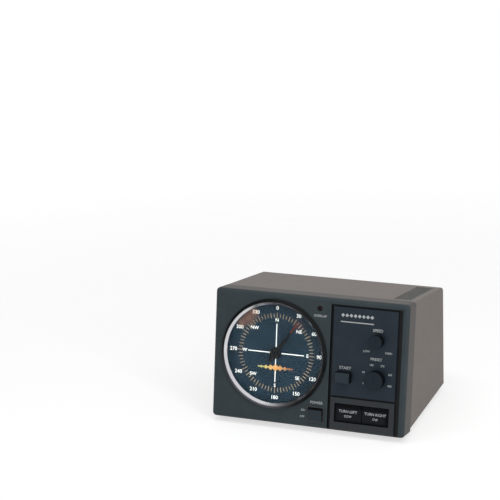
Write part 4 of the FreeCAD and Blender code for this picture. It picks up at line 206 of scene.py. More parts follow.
def ruled(material, colour, axis, pitch, share, relief, wander=0.0):
    """Fine parallel lines of a colour across one axis, a little proud."""
    lines = material.node_tree.nodes.new("ShaderNodeTexWave")
    lines.bands_direction = axis
    lines.inputs["Scale"].default_value = math.tau / WAVE_PHASE / (pitch * MM)
    lines.inputs["Distortion"].default_value = wander
    material.node_tree.links.new(own_place(material), lines.inputs["Vector"])
    mask = between(material, lines.outputs["Fac"], share, share * LINE_CORE)
    lay_over(material, mask, colour)
    raise_by(material, mask, relief)


core_steel = finish(
    "core_steel", (72, 64, 58), (96, 78, 60), grain=0.5, gloss=(0.35, 0.6), relief=0.02, metal=0.5
)
ruled(core_steel, (34, 28, 24), axis="Y", pitch=1.0, share=0.35, relief=0.04)
coat(core_steel, "transformer_core")

winding_tape = finish(
    "winding_tape", (208, 170, 66), (186, 142, 48), grain=0.9, gloss=(0.3, 0.5), relief=0.02
)
ruled(winding_tape, (150, 112, 40), axis="Z", pitch=9.0, share=0.14, relief=0.08, wander=0.6)
coat(winding_tape, "transformer_winding")

# Circuit boards: phenolic laminate under a lacquer, with copper runs that show through as paler lines.
# Spots of solder stand up from it; the control board stands behind the front's controls.
RUN_SPACING, RUN_CORNERS = 16.0, 0.2
RUN_FOLD, RUN_EDGE = 0.16, (0.07, 0.1)  # shares of the spacing
SOLDER_SPACING, SOLDER_HEIGHT = 4.0, 0.2
SOLDER_REACH, SOLDER_CORE = 0.16, 0.7  # share of the spacing, and share of the reach that is full


def copper_runs(material, colour):
    """Branching square-cornered runs of copper under the lacquer."""
    pattern = cells(material, RUN_SPACING)
    pattern.distance = "MANHATTAN"
    pattern.feature = "SMOOTH_F1"
    pattern.inputs["Smoothness"].default_value = RUN_CORNERS
    run = material.node_tree.nodes.new("ShaderNodeMath")
    run.operation = "PINGPONG"
    run.inputs[1].default_value = RUN_FOLD
    material.node_tree.links.new(pattern.outputs["Distance"], run.inputs[0])
    lay_over(material, between(material, run.outputs[0], *RUN_EDGE), colour)


def solder_spots(material, colour):
    """Scattered spots of solder, proud of the board."""
    away = cells(material, SOLDER_SPACING).outputs["Distance"]
    mask = between(material, away, SOLDER_REACH, SOLDER_REACH * SOLDER_CORE)
    lay_over(material, mask, colour)
    raise_by(material, mask, SOLDER_HEIGHT)


board_laminate = finish(
    "board_laminate", (104, 92, 42), (118, 100, 50), grain=0.8, gloss=(0.25, 0.45), relief=0.01
)
copper_runs(board_laminate, (140, 128, 66))
solder_spots(board_laminate, (196, 196, 190))
coat(board_laminate, "main_board", "control_board")

# Parts on the board: two smoothing capacitors in shrunk sleeves, motor relays in moulded cases,
# power transistors bolted to a black anodised sink, and nylon headers for the looms.
# A pale stripe runs down each sleeve, which leaves the can's top bare; the relays stand on dark feet.
BARE_TOP, STRIPE_WIDTH, RELAY_FOOT = 0.25 * MM, 2.2 * MM, 2.0 * MM
COLOUR_EDGE, SLEEVE_EDGE = 0.1 * MM, 0.05 * MM
CAPACITOR_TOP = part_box("filter_capacitors")[1].z - BARE_TOP
STRIPE_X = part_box("filter_capacitors")[0].x + STRIPE_WIDTH
RELAY_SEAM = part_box("motor_relays")[0].z + RELAY_FOOT
EXTRUDED = (1, 1, 0.04)  # grain drawn out upwards

sleeve = finish("capacitor_sleeve", (30, 40, 78), (38, 48, 88), grain=0.7, gloss=(0.16, 0.3), relief=0.01)
stripe = between(sleeve, own_axis(sleeve, "X"), STRIPE_X + COLOUR_EDGE, STRIPE_X)
lay_over(sleeve, stripe, (196, 200, 206))
bare_top = between(sleeve, own_axis(sleeve, "Z"), CAPACITOR_TOP, CAPACITOR_TOP + SLEEVE_EDGE)
lay_over(sleeve, bare_top, (186, 188, 190))
coat(sleeve, "filter_capacitors")

relay_case = finish("relay_case", (34, 44, 128), (42, 52, 140), grain=0.6, gloss=(0.2, 0.35), relief=0.01)
relay_foot = between(relay_case, own_axis(relay_case, "Z"), RELAY_SEAM + COLOUR_EDGE, RELAY_SEAM)
lay_over(relay_case, relay_foot, (22, 24, 34))
coat(relay_case, "motor_relays")

anodised = finish(
    "sink_aluminium",
    (38, 38, 41),
    (52, 51, 53),
    grain=0.25,
    gloss=(0.3, 0.5),
    relief=0.02,
    metal=0.8,
    stretch=EXTRUDED,
)
coat(anodised, "heat_sink")
transistor_epoxy = finish(
    "chip_plastic", (30, 30, 31), (40, 39, 38), grain=0.3, gloss=(0.45, 0.65), relief=0.03
)
coat(transistor_epoxy, "power_transistors")
header_nylon = finish(
    "connector_nylon", (228, 220, 198), (216, 204, 176), grain=0.5, gloss=(0.35, 0.5), relief=0.015
)
coat(header_nylon, "board_connectors")

# Controls behind the front: potentiometers in stamped cans, push switches, and a moulded power switch.
# The cans are bright aluminium with drawing lines, and the shafts are ground steel. The switches are
# in black thermoplastic, like the small fittings at the rear.
DRAWN = (1, 0.1, 1)  # grain drawn out from front to back
pot_metal = finish(
    "pot_metal",
    (196, 196, 192),
    (180, 180, 178),
    grain=0.3,
    gloss=(0.22, 0.4),
    relief=0.01,
    metal=1.0,
    stretch=DRAWN,
)
coat(pot_metal, "control_pots", "feedback_pot")
switch_plastic = finish(
    "switch_plastic", (42, 44, 46), (52, 53, 55), grain=0.3, gloss=(0.4, 0.55), relief=0.02
)
coat(switch_plastic, "push_switches", "power_switch", "trimmer_pots")
coat(switch_plastic, "fuse_holder", "fuse_cap", "cord_bush", "remote_jack")
shaft_steel = finish(
    "shaft_steel", (186, 186, 184), (168, 168, 168), grain=0.2, gloss=(0.15, 0.3), relief=0.005, metal=1.0
)
coat(shaft_steel, "speed_shaft", "preset_shaft", "pointer_shaft", "motor_shaft", "feedback_shaft")

# Indicator works: a small geared motor turns the dial's pointer, and a potentiometer reports back.
# A brass pinion and bushing, and moulded nylon gears, in a bracket folded from plated sheet.
gear_brass = finish(
    "gear_brass", (206, 168, 92), (190, 148, 74), grain=0.3, gloss=(0.2, 0.36), relief=0.008, metal=1.0
)
coat(gear_brass, "pointer_bushing", "motor_pinion")
gear_nylon = finish(
    "gear_nylon", (232, 228, 212), (222, 214, 192), grain=0.5, gloss=(0.35, 0.5), relief=0.015
)
coat(gear_nylon, "pointer_gear", "feedback_gear")
motor_steel = finish(
    "motor_steel",
    (170, 172, 172),
    (150, 152, 154),
    grain=0.3,
    gloss=(0.25, 0.42),
    relief=0.01,
    metal=1.0,
    stretch=DRAWN,
)
coat(motor_steel, "indicator_motor")

# Light box: a white moulded tray behind the dial that throws the lamps' light forward.
# The lamps are small bulbs that glow amber, and warm the walls round them.


def glow(material, colour, strength):
    """Makes a finish give off light of its own."""
    shader = material.node_tree.nodes["Principled BSDF"]
    shader.inputs["Emission Color"].default_value = shade(colour)
    shader.inputs["Emission Strength"].default_value = strength


white_plastic = finish(
    "white_plastic", (226, 222, 212), (214, 208, 196), grain=0.6, gloss=(0.4, 0.6), relief=0.02
)
coat(white_plastic, "light_box")
lamp_glass = finish("lamp_glass", (255, 196, 120), (255, 176, 92), grain=0.4, gloss=(0.08, 0.2), relief=0.005)
glow(lamp_glass, (255, 172, 84), strength=2.0)
coat(lamp_glass, "dial_lamps")

# Dial: a dark blue acrylic disc, screen printed with a white cross, figures and compass letters.
# Light from the two lamps behind it leaks through in warm patches, a broad one at the upper left
# and a small dark one at the upper right.
LEAN = math.radians(9)
DIAL_UP, DIAL_DEPTH, DIAL_SHEET = 69.8, 6.0, 1.2
dial_low, dial_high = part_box("dial_plate")
dial_middle = (dial_low + dial_high) / 2
lean_back = Matrix.Rotation(-LEAN, 4, "X")
face_foot = Vector((0, dial_middle.y, dial_middle.z))
face_foot -= lean_back @ (Vector((0, DIAL_DEPTH + DIAL_SHEET / 2, DIAL_UP)) * MM)
face = Matrix.Translation(face_foot) @ lean_back
DIAL_ACROSS = dial_middle.x / MM
INK, INK_SUNK = 0.06, 0.02
CAPITAL_SHARE, STROKE_SWELL, CURVE_STEPS = 0.70, 0.02, 3


def on_face(across, up, depth=0.0, turn=0.0):
    """A place on the sloping front in millimetres, with X across it, Y up it and Z out towards the user."""
    spot = Matrix.Translation(Vector((across, depth, up)) * MM) @ Matrix.Rotation(math.pi / 2, 4, "X")
    return face @ spot @ Matrix.Rotation(math.radians(-turn), 4, "Z") @ Matrix.Scale(MM, 4)


def round_middle(across, up, turn, out):
    """A place round a middle, by its angle clockwise from the top and its distance out, as across and up."""
    angle = math.radians(turn)
    return across + out * math.sin(angle), up + out * math.cos(angle)


def at_dial(turn, out, depth=DIAL_DEPTH):
    """Upright place on the dial, by its angle clockwise from the top and its distance out."""
    return on_face(*round_middle(DIAL_ACROSS, DIAL_UP, turn, out), depth)


def print_bar(ink, place, width, height, thick=INK):
    """A printed bar, sunk a hair into what carries it."""
    middle = Matrix.Translation((0, 0, thick / 2 - INK_SUNK)) @ Matrix.Diagonal((width, height, thick, 1))
    bmesh.ops.create_cube(ink, size=1, matrix=place @ middle)


def print_words(ink, place, words, tall):
    """Printed letters or figures, their capitals that many millimetres tall."""
    curve = bpy.data.curves.new("words", "FONT")
    curve.body = words
    curve.size = tall / CAPITAL_SHARE
    curve.align_x = "CENTER"
    curve.align_y = "CENTER"
    curve.resolution_u = CURVE_STEPS
    curve.extrude = INK / 2
    curve.offset = tall * STROKE_SWELL
    shown = bpy.data.objects.new("words", curve)
    bpy.context.scene.collection.objects.link(shown)
    mesh = bpy.data.meshes.new_from_object(shown.evaluated_get(bpy.context.evaluated_depsgraph_get()))
    mesh.transform(place @ Matrix.Translation((0, 0, INK / 2 - INK_SUNK)))
    ink.from_mesh(mesh)
    bpy.data.objects.remove(shown)
    bpy.data.curves.remove(curve)
    bpy.data.meshes.remove(mesh)


def make_piece(name, shape, material, body):
    """Turns a finished shape into a piece that rides on its body."""
    mesh = bpy.data.meshes.new(name)
    shape.to_mesh(mesh)
    shape.free()
    piece = bpy.data.objects.new(name, mesh)
    bpy.context.scene.collection.objects.link(piece)
    mesh.materials.append(material)
    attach(piece, body)


def near(material, point, inner, outer):
    """1 up to a distance from a point of the part, falling to 0 at another; rising if that is the smaller."""
    away = material.node_tree.nodes.new("ShaderNodeVectorMath")
    away.operation = "DISTANCE"
    away.inputs[1].default_value = point
    material.node_tree.links.new(own_place(material), away.inputs[0])
    return between(material, away.outputs["Value"], inner * MM, outer * MM, 1, 0)


AMBER_LEAK, UMBER_LEAK = (206, 146, 106), (112, 52, 30)
LEAK_CORE = 1.0
LAMP_LEAKS = (  # angle clockwise from the top, distance out, reach and colour
    (37, 37, 7.5, UMBER_LEAK),
    (-54, 45.5, 6.5, AMBER_LEAK),
    (-33, 45.5, 6.5, AMBER_LEAK),
    (-43, 44, 9, AMBER_LEAK),
)


def lamp_leak(material, colour, strength):
    """Light through a dial finish: an even glow of its own colour, and warm patches over the lamps."""
    glow(material, colour, strength)
    for turn, out, reach, warmth in LAMP_LEAKS:
        patch = near(material, at_dial(turn, out).translation, LEAK_CORE, reach)
        lay_over(material, patch, warmth, "Emission Color")


dial_print = finish(
    "dial_print", (22, 45, 59), (30, 54, 69), grain=0.5, gloss=(0.4, 0.5), relief=0.0008, shine=0.15
)
lamp_leak(dial_print, (0, 0, 0), strength=0.3)
coat(dial_print, "dial_plate")
dial_white = finish(
    "dial_white_ink", (226, 228, 222), (208, 212, 208), grain=0.2, gloss=(0.4, 0.6), relief=0.002
)
lamp_leak(dial_white, (236, 240, 238), strength=0.8)

CROSS_INNER, CROSS_OUTER, CROSS_LINE = 6.0, 29.3, 0.9
spoke_length = CROSS_OUTER - CROSS_INNER
cross = bmesh.new()
for quarter in range(4):
    spoke = on_face(DIAL_ACROSS, DIAL_UP, DIAL_DEPTH, quarter * 90)
    middle = Matrix.Translation((0, CROSS_INNER + spoke_length / 2, 0))
    print_bar(cross, spoke @ middle, CROSS_LINE, spoke_length)
make_piece("dial_cross_lines", cross, dial_white, "cabinet")

FIGURE_RADIUS, FIGURE_TALL = 45.1, 3.6
LETTER_RADIUS, LETTER_TALL = 33.0, 3.3
figures = bmesh.new()
for turn in range(0, 360, 30):
    print_words(figures, at_dial(turn, FIGURE_RADIUS), str(turn), FIGURE_TALL)
for step, point in enumerate(("N", "NE", "E", "SE", "S", "SW", "W", "NW")):
    print_words(figures, at_dial(step * 45, LETTER_RADIUS), point, LETTER_TALL)
make_piece("dial_figures", figures, dial_white, "cabinet")

# Dial ticks: fine amber degree ticks between the compass letters and the figures.
# Every fifth degree has one, longer at the tens and longest at the figures.
TICK_RADIUS, TICK_LINE = 37.4, 0.7
TICK_AT_FIGURE, TICK_AT_TEN, TICK_AT_FIVE = 6.2, 5.0, 3.6
dial_amber = finish(
    "dial_amber_ink", (128, 112, 84), (176, 164, 140), grain=0.3, gloss=(0.4, 0.55), relief=0.002
)
lamp_leak(dial_amber, (150, 120, 74), strength=0.3)
ticks = bmesh.new()
for turn in range(0, 360, 5):
    length = TICK_AT_FIGURE if turn % 30 == 0 else TICK_AT_TEN if turn % 10 == 0 else TICK_AT_FIVE
    ray = on_face(DIAL_ACROSS, DIAL_UP, DIAL_DEPTH, turn)
    print_bar(ticks, ray @ Matrix.Translation((0, TICK_RADIUS, 0)), TICK_LINE, length)
make_piece("dial_degree_ticks", ticks, dial_amber, "cabinet")

# Dial ornament: a row of gold lozenges on a line below the dial's middle, smaller towards its ends.
# The gold is painted to shade off to a yellow green at the left and to a brown at the right, and to glow a
# little:
# painted light, for the uneven way the ink catches the light.
ORNAMENT_UP, ORNAMENT_SPAN, ORNAMENT_LINE = DIAL_UP - 15.0, 37.0, 1.2
INK_LIGHT_FULL, INK_LIGHT_GONE = 4.0, 17.0  # from the ends of the row
LOZENGES, LOZENGE_STEP, LOZENGE_STRETCH = 7, 5.0, 1.15
LOZENGE_TALL, LOZENGE_LOSS = 7.2, 1.44  # in the middle, and less for each step from it
LOZENGE_INK = INK * 1.2
gold_ink = finish(
    "dial_gold_ink", (206, 148, 76), (226, 182, 118), grain=0.12, gloss=(0.3, 0.5), relief=0.003
)
# Painted light: the gold ink glows a little of its own.
glow(gold_ink, (214, 150, 84), strength=0.3)
# Painted light: the gold is shaded off towards each end of the row, in its colour and its glow.
for side, light_tint in ((-0.5, (188, 184, 112)), (0.5, (150, 98, 66))):
    end = on_face(DIAL_ACROSS + side * ORNAMENT_SPAN, ORNAMENT_UP, DIAL_DEPTH).translation
    ink_light_fade = near(gold_ink, end, INK_LIGHT_FULL, INK_LIGHT_GONE)
    lay_over(gold_ink, ink_light_fade, light_tint)
    lay_over(gold_ink, ink_light_fade, light_tint, "Emission Color")
on_corner = Matrix.Rotation(math.pi / 4, 4, "Z")
ornament = bmesh.new()
print_bar(ornament, on_face(DIAL_ACROSS, ORNAMENT_UP, DIAL_DEPTH), ORNAMENT_SPAN, ORNAMENT_LINE)
for number in range(LOZENGES):
    steps = number - (LOZENGES - 1) / 2
    side = (LOZENGE_TALL - abs(steps) * LOZENGE_LOSS) / math.sqrt(2)
    place = on_face(DIAL_ACROSS + steps * LOZENGE_STEP, ORNAMENT_UP, DIAL_DEPTH)
    lozenge = place @ Matrix.Diagonal((LOZENGE_STRETCH, 1, 1, 1)) @ on_corner
    print_bar(ornament, lozenge, side, side, LOZENGE_INK)
make_piece("dial_ornament", ornament, gold_ink, "cabinet")

# Pointer: a tapered needle moulded in black acrylic with its hub, its far end painted a red brown.
# It is pressed on the shaft that comes through the dial.
PAINT_STARTS, PAINT_FULL = 27.0, 27.8
needle = finish(
    "pointer_plastic", (14, 18, 20), (20, 25, 28), grain=0.5, gloss=(0.3, 0.42), relief=0.001, shine=0.15
)
hub_point = on_face(DIAL_ACROSS, DIAL_UP, DIAL_DEPTH).translation
lay_over(needle, near(needle, hub_point, PAINT_FULL, PAINT_STARTS), (104, 46, 34))
coat(needle, "pointer")

# Dial ring and lens: a clear acrylic disc behind a black ring whose inner slope is plated and polished.
# The ring clips into the front moulding from behind.
# At the lower left its black is painted paler, a painted reflection, and its plating is painted brightest
# towards the left, a painted highlight.
RING_MIDDLE, SLOPE_EDGE, SLOPE_BLEND = 53.0, 52.0, 0.1
REFLECTION_TURN, REFLECTION_FULL, REFLECTION_GONE = -150, 15.0, 52.0
HIGHLIGHT_TURN, HIGHLIGHT_FULL, HIGHLIGHT_GONE = -110, 62.0, 84.0
POLISH = 0.06
LENS_CLEARNESS, LENS_BENDING = 1.0, 1.15


def overlap(material, *masks):
    """1 only where every mask is 1."""
    total = masks[0]
    for mask in masks[1:]:
        product = material.node_tree.nodes.new("ShaderNodeMath")
        product.operation = "MULTIPLY"
        material.node_tree.links.new(total, product.inputs[0])
        material.node_tree.links.new(mask, product.inputs[1])
        total = product.outputs[0]
    return total


def near_ring(material, turn, inner, outer):
    """1 near a place on the ring, by its angle clockwise from the top of the dial."""
    return near(material, at_dial(turn, RING_MIDDLE, 0).translation, inner, outer)


def plate(material, mask):
    """Polished metal wherever the mask is 1."""
    nodes, links = material.node_tree.nodes, material.node_tree.links
    shader = nodes["Principled BSDF"]
    links.new(mask, shader.inputs["Metallic"])
    satin = shader.inputs["Roughness"].links[0].from_socket
    polish = nodes.new("ShaderNodeMix")
    polish.inputs["B"].default_value = POLISH
    links.new(mask, polish.inputs["Factor"])
    links.new(satin, polish.inputs["A"])
    links.new(polish.outputs["Result"], shader.inputs["Roughness"])


def clear(material):
    """Makes a finish clear, and lets the lamps' light straight through to what lies behind."""
    nodes, links = material.node_tree.nodes, material.node_tree.links
    shader = nodes["Principled BSDF"]
    shader.inputs["Transmission Weight"].default_value = LENS_CLEARNESS
    shader.inputs["IOR"].default_value = LENS_BENDING
    rays = nodes.new("ShaderNodeLightPath")
    through = nodes.new("ShaderNodeBsdfTransparent")
    mix = nodes.new("ShaderNodeMixShader")
    links.new(rays.outputs["Is Shadow Ray"], mix.inputs["Fac"])
    links.new(shader.outputs["BSDF"], mix.inputs[1])
    links.new(through.outputs["BSDF"], mix.inputs[2])
    links.new(mix.outputs["Shader"], nodes["Material Output"].inputs["Surface"])


ring_black = finish(
    "ring_plastic", (14, 16, 17), (20, 22, 23), grain=1.4, gloss=(0.3, 0.42), relief=0.002, shine=0.12
)
# Painted reflection: the black is painted paler round the lower left of the ring.
lay_over(ring_black, near_ring(ring_black, REFLECTION_TURN, REFLECTION_FULL, REFLECTION_GONE), (118, 118, 126))
dial_centre = on_face(DIAL_ACROSS, DIAL_UP).translation
slope = near(ring_black, dial_centre, SLOPE_EDGE, SLOPE_EDGE + SLOPE_BLEND)
lay_over(ring_black, slope, (104, 104, 110))
# Painted highlight: the plated slope is painted paler towards the left of the ring.
painted_highlight = near_ring(ring_black, HIGHLIGHT_TURN, HIGHLIGHT_FULL, HIGHLIGHT_GONE)
lay_over(ring_black, overlap(ring_black, slope, painted_highlight), (204, 204, 208))
plate(ring_black, slope)
coat(ring_black, "dial_ring")
lens_plastic = finish(
    "lens_plastic", (250, 252, 252), (250, 252, 252), grain=2.0, gloss=(0.02, 0.05), relief=0.0005, shine=0.2
)
clear(lens_plastic)
coat(lens_plastic, "dial_lens")

# Front moulding: one deep frame in dark grey-green plastic, with a fine spark texture from its tool.
# Its outer band behind the face is painted a warmer grey than its face, painted light on the moulding's top
# and sides, and the bay for the plate and the keys is painted near black, painted shade in the recess.
ACROSS, BEHIND, UP = (1, 0, 0), (0, 1, 0), (0, 0, 1)
BAND_STARTS, BAND_FULL = 1.5, 4.5  # behind the face
BAY_LEFT, BAY_RIGHT, BAY_TOP, BAY_EDGE = 21.7, 94.0, 125.4, 0.1
BAY_FOOT, BAY_SUNK = (0.1, 0.3), (0.1, 0.5)


def along_face(material, direction):
    """How far a point of the part lies along one of the sloping front's own directions, in metres."""
    nodes, links = material.node_tree.nodes, material.node_tree.links
    back = nodes.new("ShaderNodeVectorMath")
    back.operation = "SUBTRACT"
    back.inputs[1].default_value = face_foot
    along = nodes.new("ShaderNodeVectorMath")
    along.operation = "DOT_PRODUCT"
    along.inputs[1].default_value = lean_back @ Vector(direction)
    links.new(own_place(material), back.inputs[0])
    links.new(back.outputs["Vector"], along.inputs[0])
    return along.outputs["Value"]


def within(material, *sides):
    """1 inside a box on the sloping front; each side says its direction, and where it is 0 and where 1."""
    runs = [between(material, along_face(material, way), none * MM, full * MM) for way, none, full in sides]
    return overlap(material, *runs)


bezel_plastic = finish(
    "bezel_plastic", (53, 64, 69), (58, 69, 74), grain=0.45, gloss=(0.42, 0.6), relief=0.035, shine=0.25
)
# Painted light: the top and sides of the moulding behind its face are painted a warmer grey.
lay_over(bezel_plastic, within(bezel_plastic, (BEHIND, BAND_STARTS, BAND_FULL)), (67, 64, 61))
# Painted shade: the floor and walls of the bay are painted near black.
bay_shade = within(
    bezel_plastic,
    (ACROSS, BAY_LEFT - BAY_EDGE, BAY_LEFT),
    (ACROSS, BAY_RIGHT + BAY_EDGE, BAY_RIGHT),
    (UP, BAY_TOP + BAY_EDGE, BAY_TOP),
    (UP, *BAY_FOOT),
    (BEHIND, *BAY_SUNK),
)
lay_over(bezel_plastic, bay_shade, (9, 11, 13))
coat(bezel_plastic, "front_bezel")

# Control plate: a sheet of aluminium painted navy, set in a grooved bay of the moulding.
# Below it a plastic frame carries the two direction keys, a little darker than the moulding.
plate_paint = finish(
    "plate_paint", (29, 41, 52), (34, 46, 58), grain=0.35, gloss=(0.35, 0.5), relief=0.015, shine=0.25
)
coat(plate_paint, "control_plate")
frame_plastic = finish(
    "key_frame_plastic", (36, 42, 46), (41, 47, 51), grain=0.4, gloss=(0.4, 0.55), relief=0.03, shine=0.35
)
coat(frame_plastic, "key_frame")

# Keys and buttons: polished black direction keys, and a satin start button and rocker power switch.
# Injection moulded, each riding in its own guide; the keys are painted paler away from their edges, painted
# light in their middles and painted shade round their rims, and the buttons' faces are painted paler than
# their sides, painted light on the faces and painted shade on the sides.
KEYS_LEFT, KEYS_RIGHT, KEYS_LOW, KEYS_HIGH, KEY_FADE = 29.8, 81.0, 10.0, 24.2, 2.5
FACING_RUN = (0.55, 0.85)  # cosine of the angle to the face's own direction


def facing_user(material):
    """1 on faces that look out towards the user, 0 on a piece's sides."""
    nodes, links = material.node_tree.nodes, material.node_tree.links
    surface = nodes.new("ShaderNodeNewGeometry")
    along = nodes.new("ShaderNodeVectorMath")
    along.operation = "DOT_PRODUCT"
    along.inputs[1].default_value = lean_back @ Vector((0, -1, 0))
    links.new(surface.outputs["Normal"], along.inputs[0])
    return between(material, along.outputs["Value"], *FACING_RUN)


key_plastic = finish(
    "key_plastic", (9, 13, 16), (13, 17, 20), grain=1.0, gloss=(0.12, 0.24), relief=0.003, shine=0.05
)
# Painted light and shade: the keys are paler in the middle and darker near their rims.
lit_key_middle = within(
    key_plastic,
    (ACROSS, KEYS_LEFT, KEYS_LEFT + KEY_FADE),
    (ACROSS, KEYS_RIGHT, KEYS_RIGHT - KEY_FADE),
    (UP, KEYS_LOW, KEYS_LOW + KEY_FADE),
    (UP, KEYS_HIGH, KEYS_HIGH - KEY_FADE),
)
lay_over(key_plastic, lit_key_middle, (32, 36, 41))
coat(key_plastic, "left_key", "right_key")
button_plastic = finish(
    "button_plastic", (14, 17, 20), (18, 21, 25), grain=0.4, gloss=(0.3, 0.48), relief=0.02, shine=0.25
)
# Painted light and shade: the buttons' faces are paler and their sides darker.
lay_over(button_plastic, facing_user(button_plastic), (39, 52, 61))
coat(button_plastic, "start_button", "power_rocker")

# Knobs: fluted caps pressed on flatted shafts, the speed knob above the larger preset knob.
# Satin black plastic with its face painted paler than its sides, painted light on the face and painted shade
# on the sides;
# a white index line is filled into each cap.
KNOB_ACROSS, SPEED_UP, PRESET_UP = 70.0, 93.5, 55.7
KNOBS = (("speed", SPEED_UP, 6.5, -9.6), ("preset", PRESET_UP, 9.0, -10.1))  # place up, radius, cap's depth
INDEX_LINE, INDEX_MIDDLE, INDEX_LENGTH = 0.7, 0.62, 0.6  # the last two are shares of the radius
knob_plastic = finish(
    "knob_plastic", (12, 15, 18), (15, 19, 22), grain=0.35, gloss=(0.32, 0.5), relief=0.02, shine=0.1
)
# Painted light and shade: the knobs' faces are paler and their sides darker.
lay_over(knob_plastic, facing_user(knob_plastic), (37, 47, 55))
coat(knob_plastic, "speed_knob", "preset_knob")
index_white = finish("index_ink", (214, 216, 212), (190, 192, 188), grain=0.2, gloss=(0.4, 0.6), relief=0.002)
for knob, up, radius, cap in KNOBS:
    line = bmesh.new()
    index = on_face(KNOB_ACROSS, up, cap) @ Matrix.Translation((0, radius * INDEX_MIDDLE, 0))
    print_bar(line, index, INDEX_LINE, radius * INDEX_LENGTH)
    make_piece(knob + "_knob_index", line, index_white, knob + "_control")

# Overlap lamp: a small domed red lens, unlit and dark.
# It is clipped through the moulding from behind.
led_lens = finish(
    "led_lens", (28, 10, 11), (36, 12, 12), grain=0.8, gloss=(0.08, 0.16), relief=0.002, shine=0.12
)
coat(led_lens, "overlap_led")

# Front lettering: plain words and figures in white ink, for the controls that they stand beside.
# Screen printed in one pass; the ink is matt and a little uneven.
PLATE_DEPTH = 0.4
FACE_LABELS = (  # each label's words, place across and up, and capital height
    ("OVERLAP", 10.7, 112.2, 2.2),
    ("POWER", 10.3, 25.7, 2.6),
    ("ON", -3.2, 17.0, 2.0),
    ("OFF", -4.0, 10.4, 2.0),
)
PLATE_LABELS = (
    ("SPEED", 69.5, 103.1, 2.7),
    ("LOW", 58.8, 82.1, 2.0),
    ("HIGH", 81.0, 82.1, 2.0),
    ("PRESET", 69.0, 74.9, 2.6),
    ("START", 38.0, 63.4, 2.9),
)
PRESET_SCALE = ((0, -112.5), (90, -67.5), (180, -22.5), (270, 22.5), (360, 67.5), (450, 112.5))
SCALE_RADIUS, SCALE_TALL = 14.4, 1.9
face_white = finish("face_ink", (206, 210, 210), (184, 190, 192), grain=0.2, gloss=(0.45, 0.65), relief=0.002)
lettering = bmesh.new()
for words, across, up, tall in FACE_LABELS:
    print_words(lettering, on_face(across, up), words, tall)
for words, across, up, tall in PLATE_LABELS:
    print_words(lettering, on_face(across, up, PLATE_DEPTH), words, tall)
for figure, turn in PRESET_SCALE:
    place = on_face(*round_middle(KNOB_ACROSS, PRESET_UP, turn, SCALE_RADIUS), PLATE_DEPTH)
    print_words(lettering, place, str(figure), SCALE_TALL)
make_piece("front_lettering", lettering, face_white, "cabinet")

# Key legends: a title and a note on each direction key, in the same ink.
# They ride on the keys, and so go in with them.
KEY_FRONT = 1.3
TITLE_UP, TITLE_TALL = 20.1, 2.6
NOTE_UP, NOTE_TALL = 15.3, 2.2
KEY_WORDS = (("left", "TURN LEFT", "CCW", 42.5), ("right", "TURN RIGHT", "CW", 70.2))
for key, title, note, across in KEY_WORDS:
    legend = bmesh.new()
    print_words(legend, on_face(across, TITLE_UP, KEY_FRONT), title, TITLE_TALL)
    print_words(legend, on_face(across, NOTE_UP, KEY_FRONT), note, NOTE_TALL)
    make_piece(key + "_key_legend", legend, face_white, key + "_push")

# Plate ornament: where such a panel often has a title, a row of plain lozenges over a thin line.
# Printed in the same white ink and cut to the dial ornament's pattern; it names nothing.
ROW_LEFT, ROW_UP, ROW_LOZENGES, ROW_STEP, ROW_SIDE = 31.6, 115.4, 8, 4.2, 2.7
UNDERLINE_UP, UNDERLINE = 109.0, 1.0
row_length = ROW_LOZENGES * ROW_STEP
plate_ornament = bmesh.new()
for number in range(ROW_LOZENGES):
    place = on_face(ROW_LEFT + (number + 0.5) * ROW_STEP, ROW_UP, PLATE_DEPTH)
    print_bar(plate_ornament, place @ on_corner, ROW_SIDE, ROW_SIDE)
underline = on_face(ROW_LEFT + row_length / 2, UNDERLINE_UP, PLATE_DEPTH)
print_bar(plate_ornament, underline, row_length, UNDERLINE)
make_piece("plate_ornament", plate_ornament, face_white, "cabinet")

# Rear panel and its metal fittings: painted steel, with a nickel-plated socket and earth terminal.
# The slotted shafts of the two adjusters are in white plastic.
rear_paint = finish(
    "rear_paint", (50, 53, 56), (58, 60, 63), grain=0.4, gloss=(0.4, 0.55), relief=0.03, shine=0.35
)
coat(rear_paint, "rear_panel")
socket_plate = finish(
    "socket_plate", (196, 196, 194), (178, 180, 182), grain=0.3, gloss=(0.15, 0.32), relief=0.006, metal=1.0
)
coat(socket_plate, "rotator_socket", "ground_terminal")
trimmer_white = finish(
    "trimmer_plastic", (222, 218, 204), (206, 200, 182), grain=0.3, gloss=(0.35, 0.5), relief=0.01
)
coat(trimmer_white, "full_scale_trimmer", "offset_trimmer")

# Rear lettering: plain words in white ink beside the fittings, and two frames in thin lines.
# One frame is round the adjusters, the other round the mains, fuse and earth fittings.
REAR_SLANT = math.radians(4)
REAR_SHEET, REAR_EDGE = 1.2, 1.0
panel_low, panel_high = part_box("rear_panel")
panel_foot = Vector((0, panel_high.y, panel_low.z + REAR_SHEET * MM * math.sin(REAR_SLANT)))
rear = Matrix.Translation(panel_foot) @ Matrix.Rotation(REAR_SLANT, 4, "X")
REAR_LABELS = (
    ("ROTATOR", -58.0, 51.0, 2.6),
    ("REMOTE", -18.0, 45.0, 2.6),
    ("EARTH", 12.0, 33.0, 2.6),
    ("FUSE", 42.0, 36.0, 2.6),
    ("MAINS", 76.0, 36.5, 2.6),
    ("FULL SCALE", -52.0, 74.5, 2.2),
    ("OFFSET", -27.0, 74.5, 2.2),
)
REAR_FRAMES = ((-39.0, 68.0, 46.0, 20.0), (45.0, 26.5, 84.0, 27.0))  # middle across and up, width, height
FRAME_LINE = 0.4


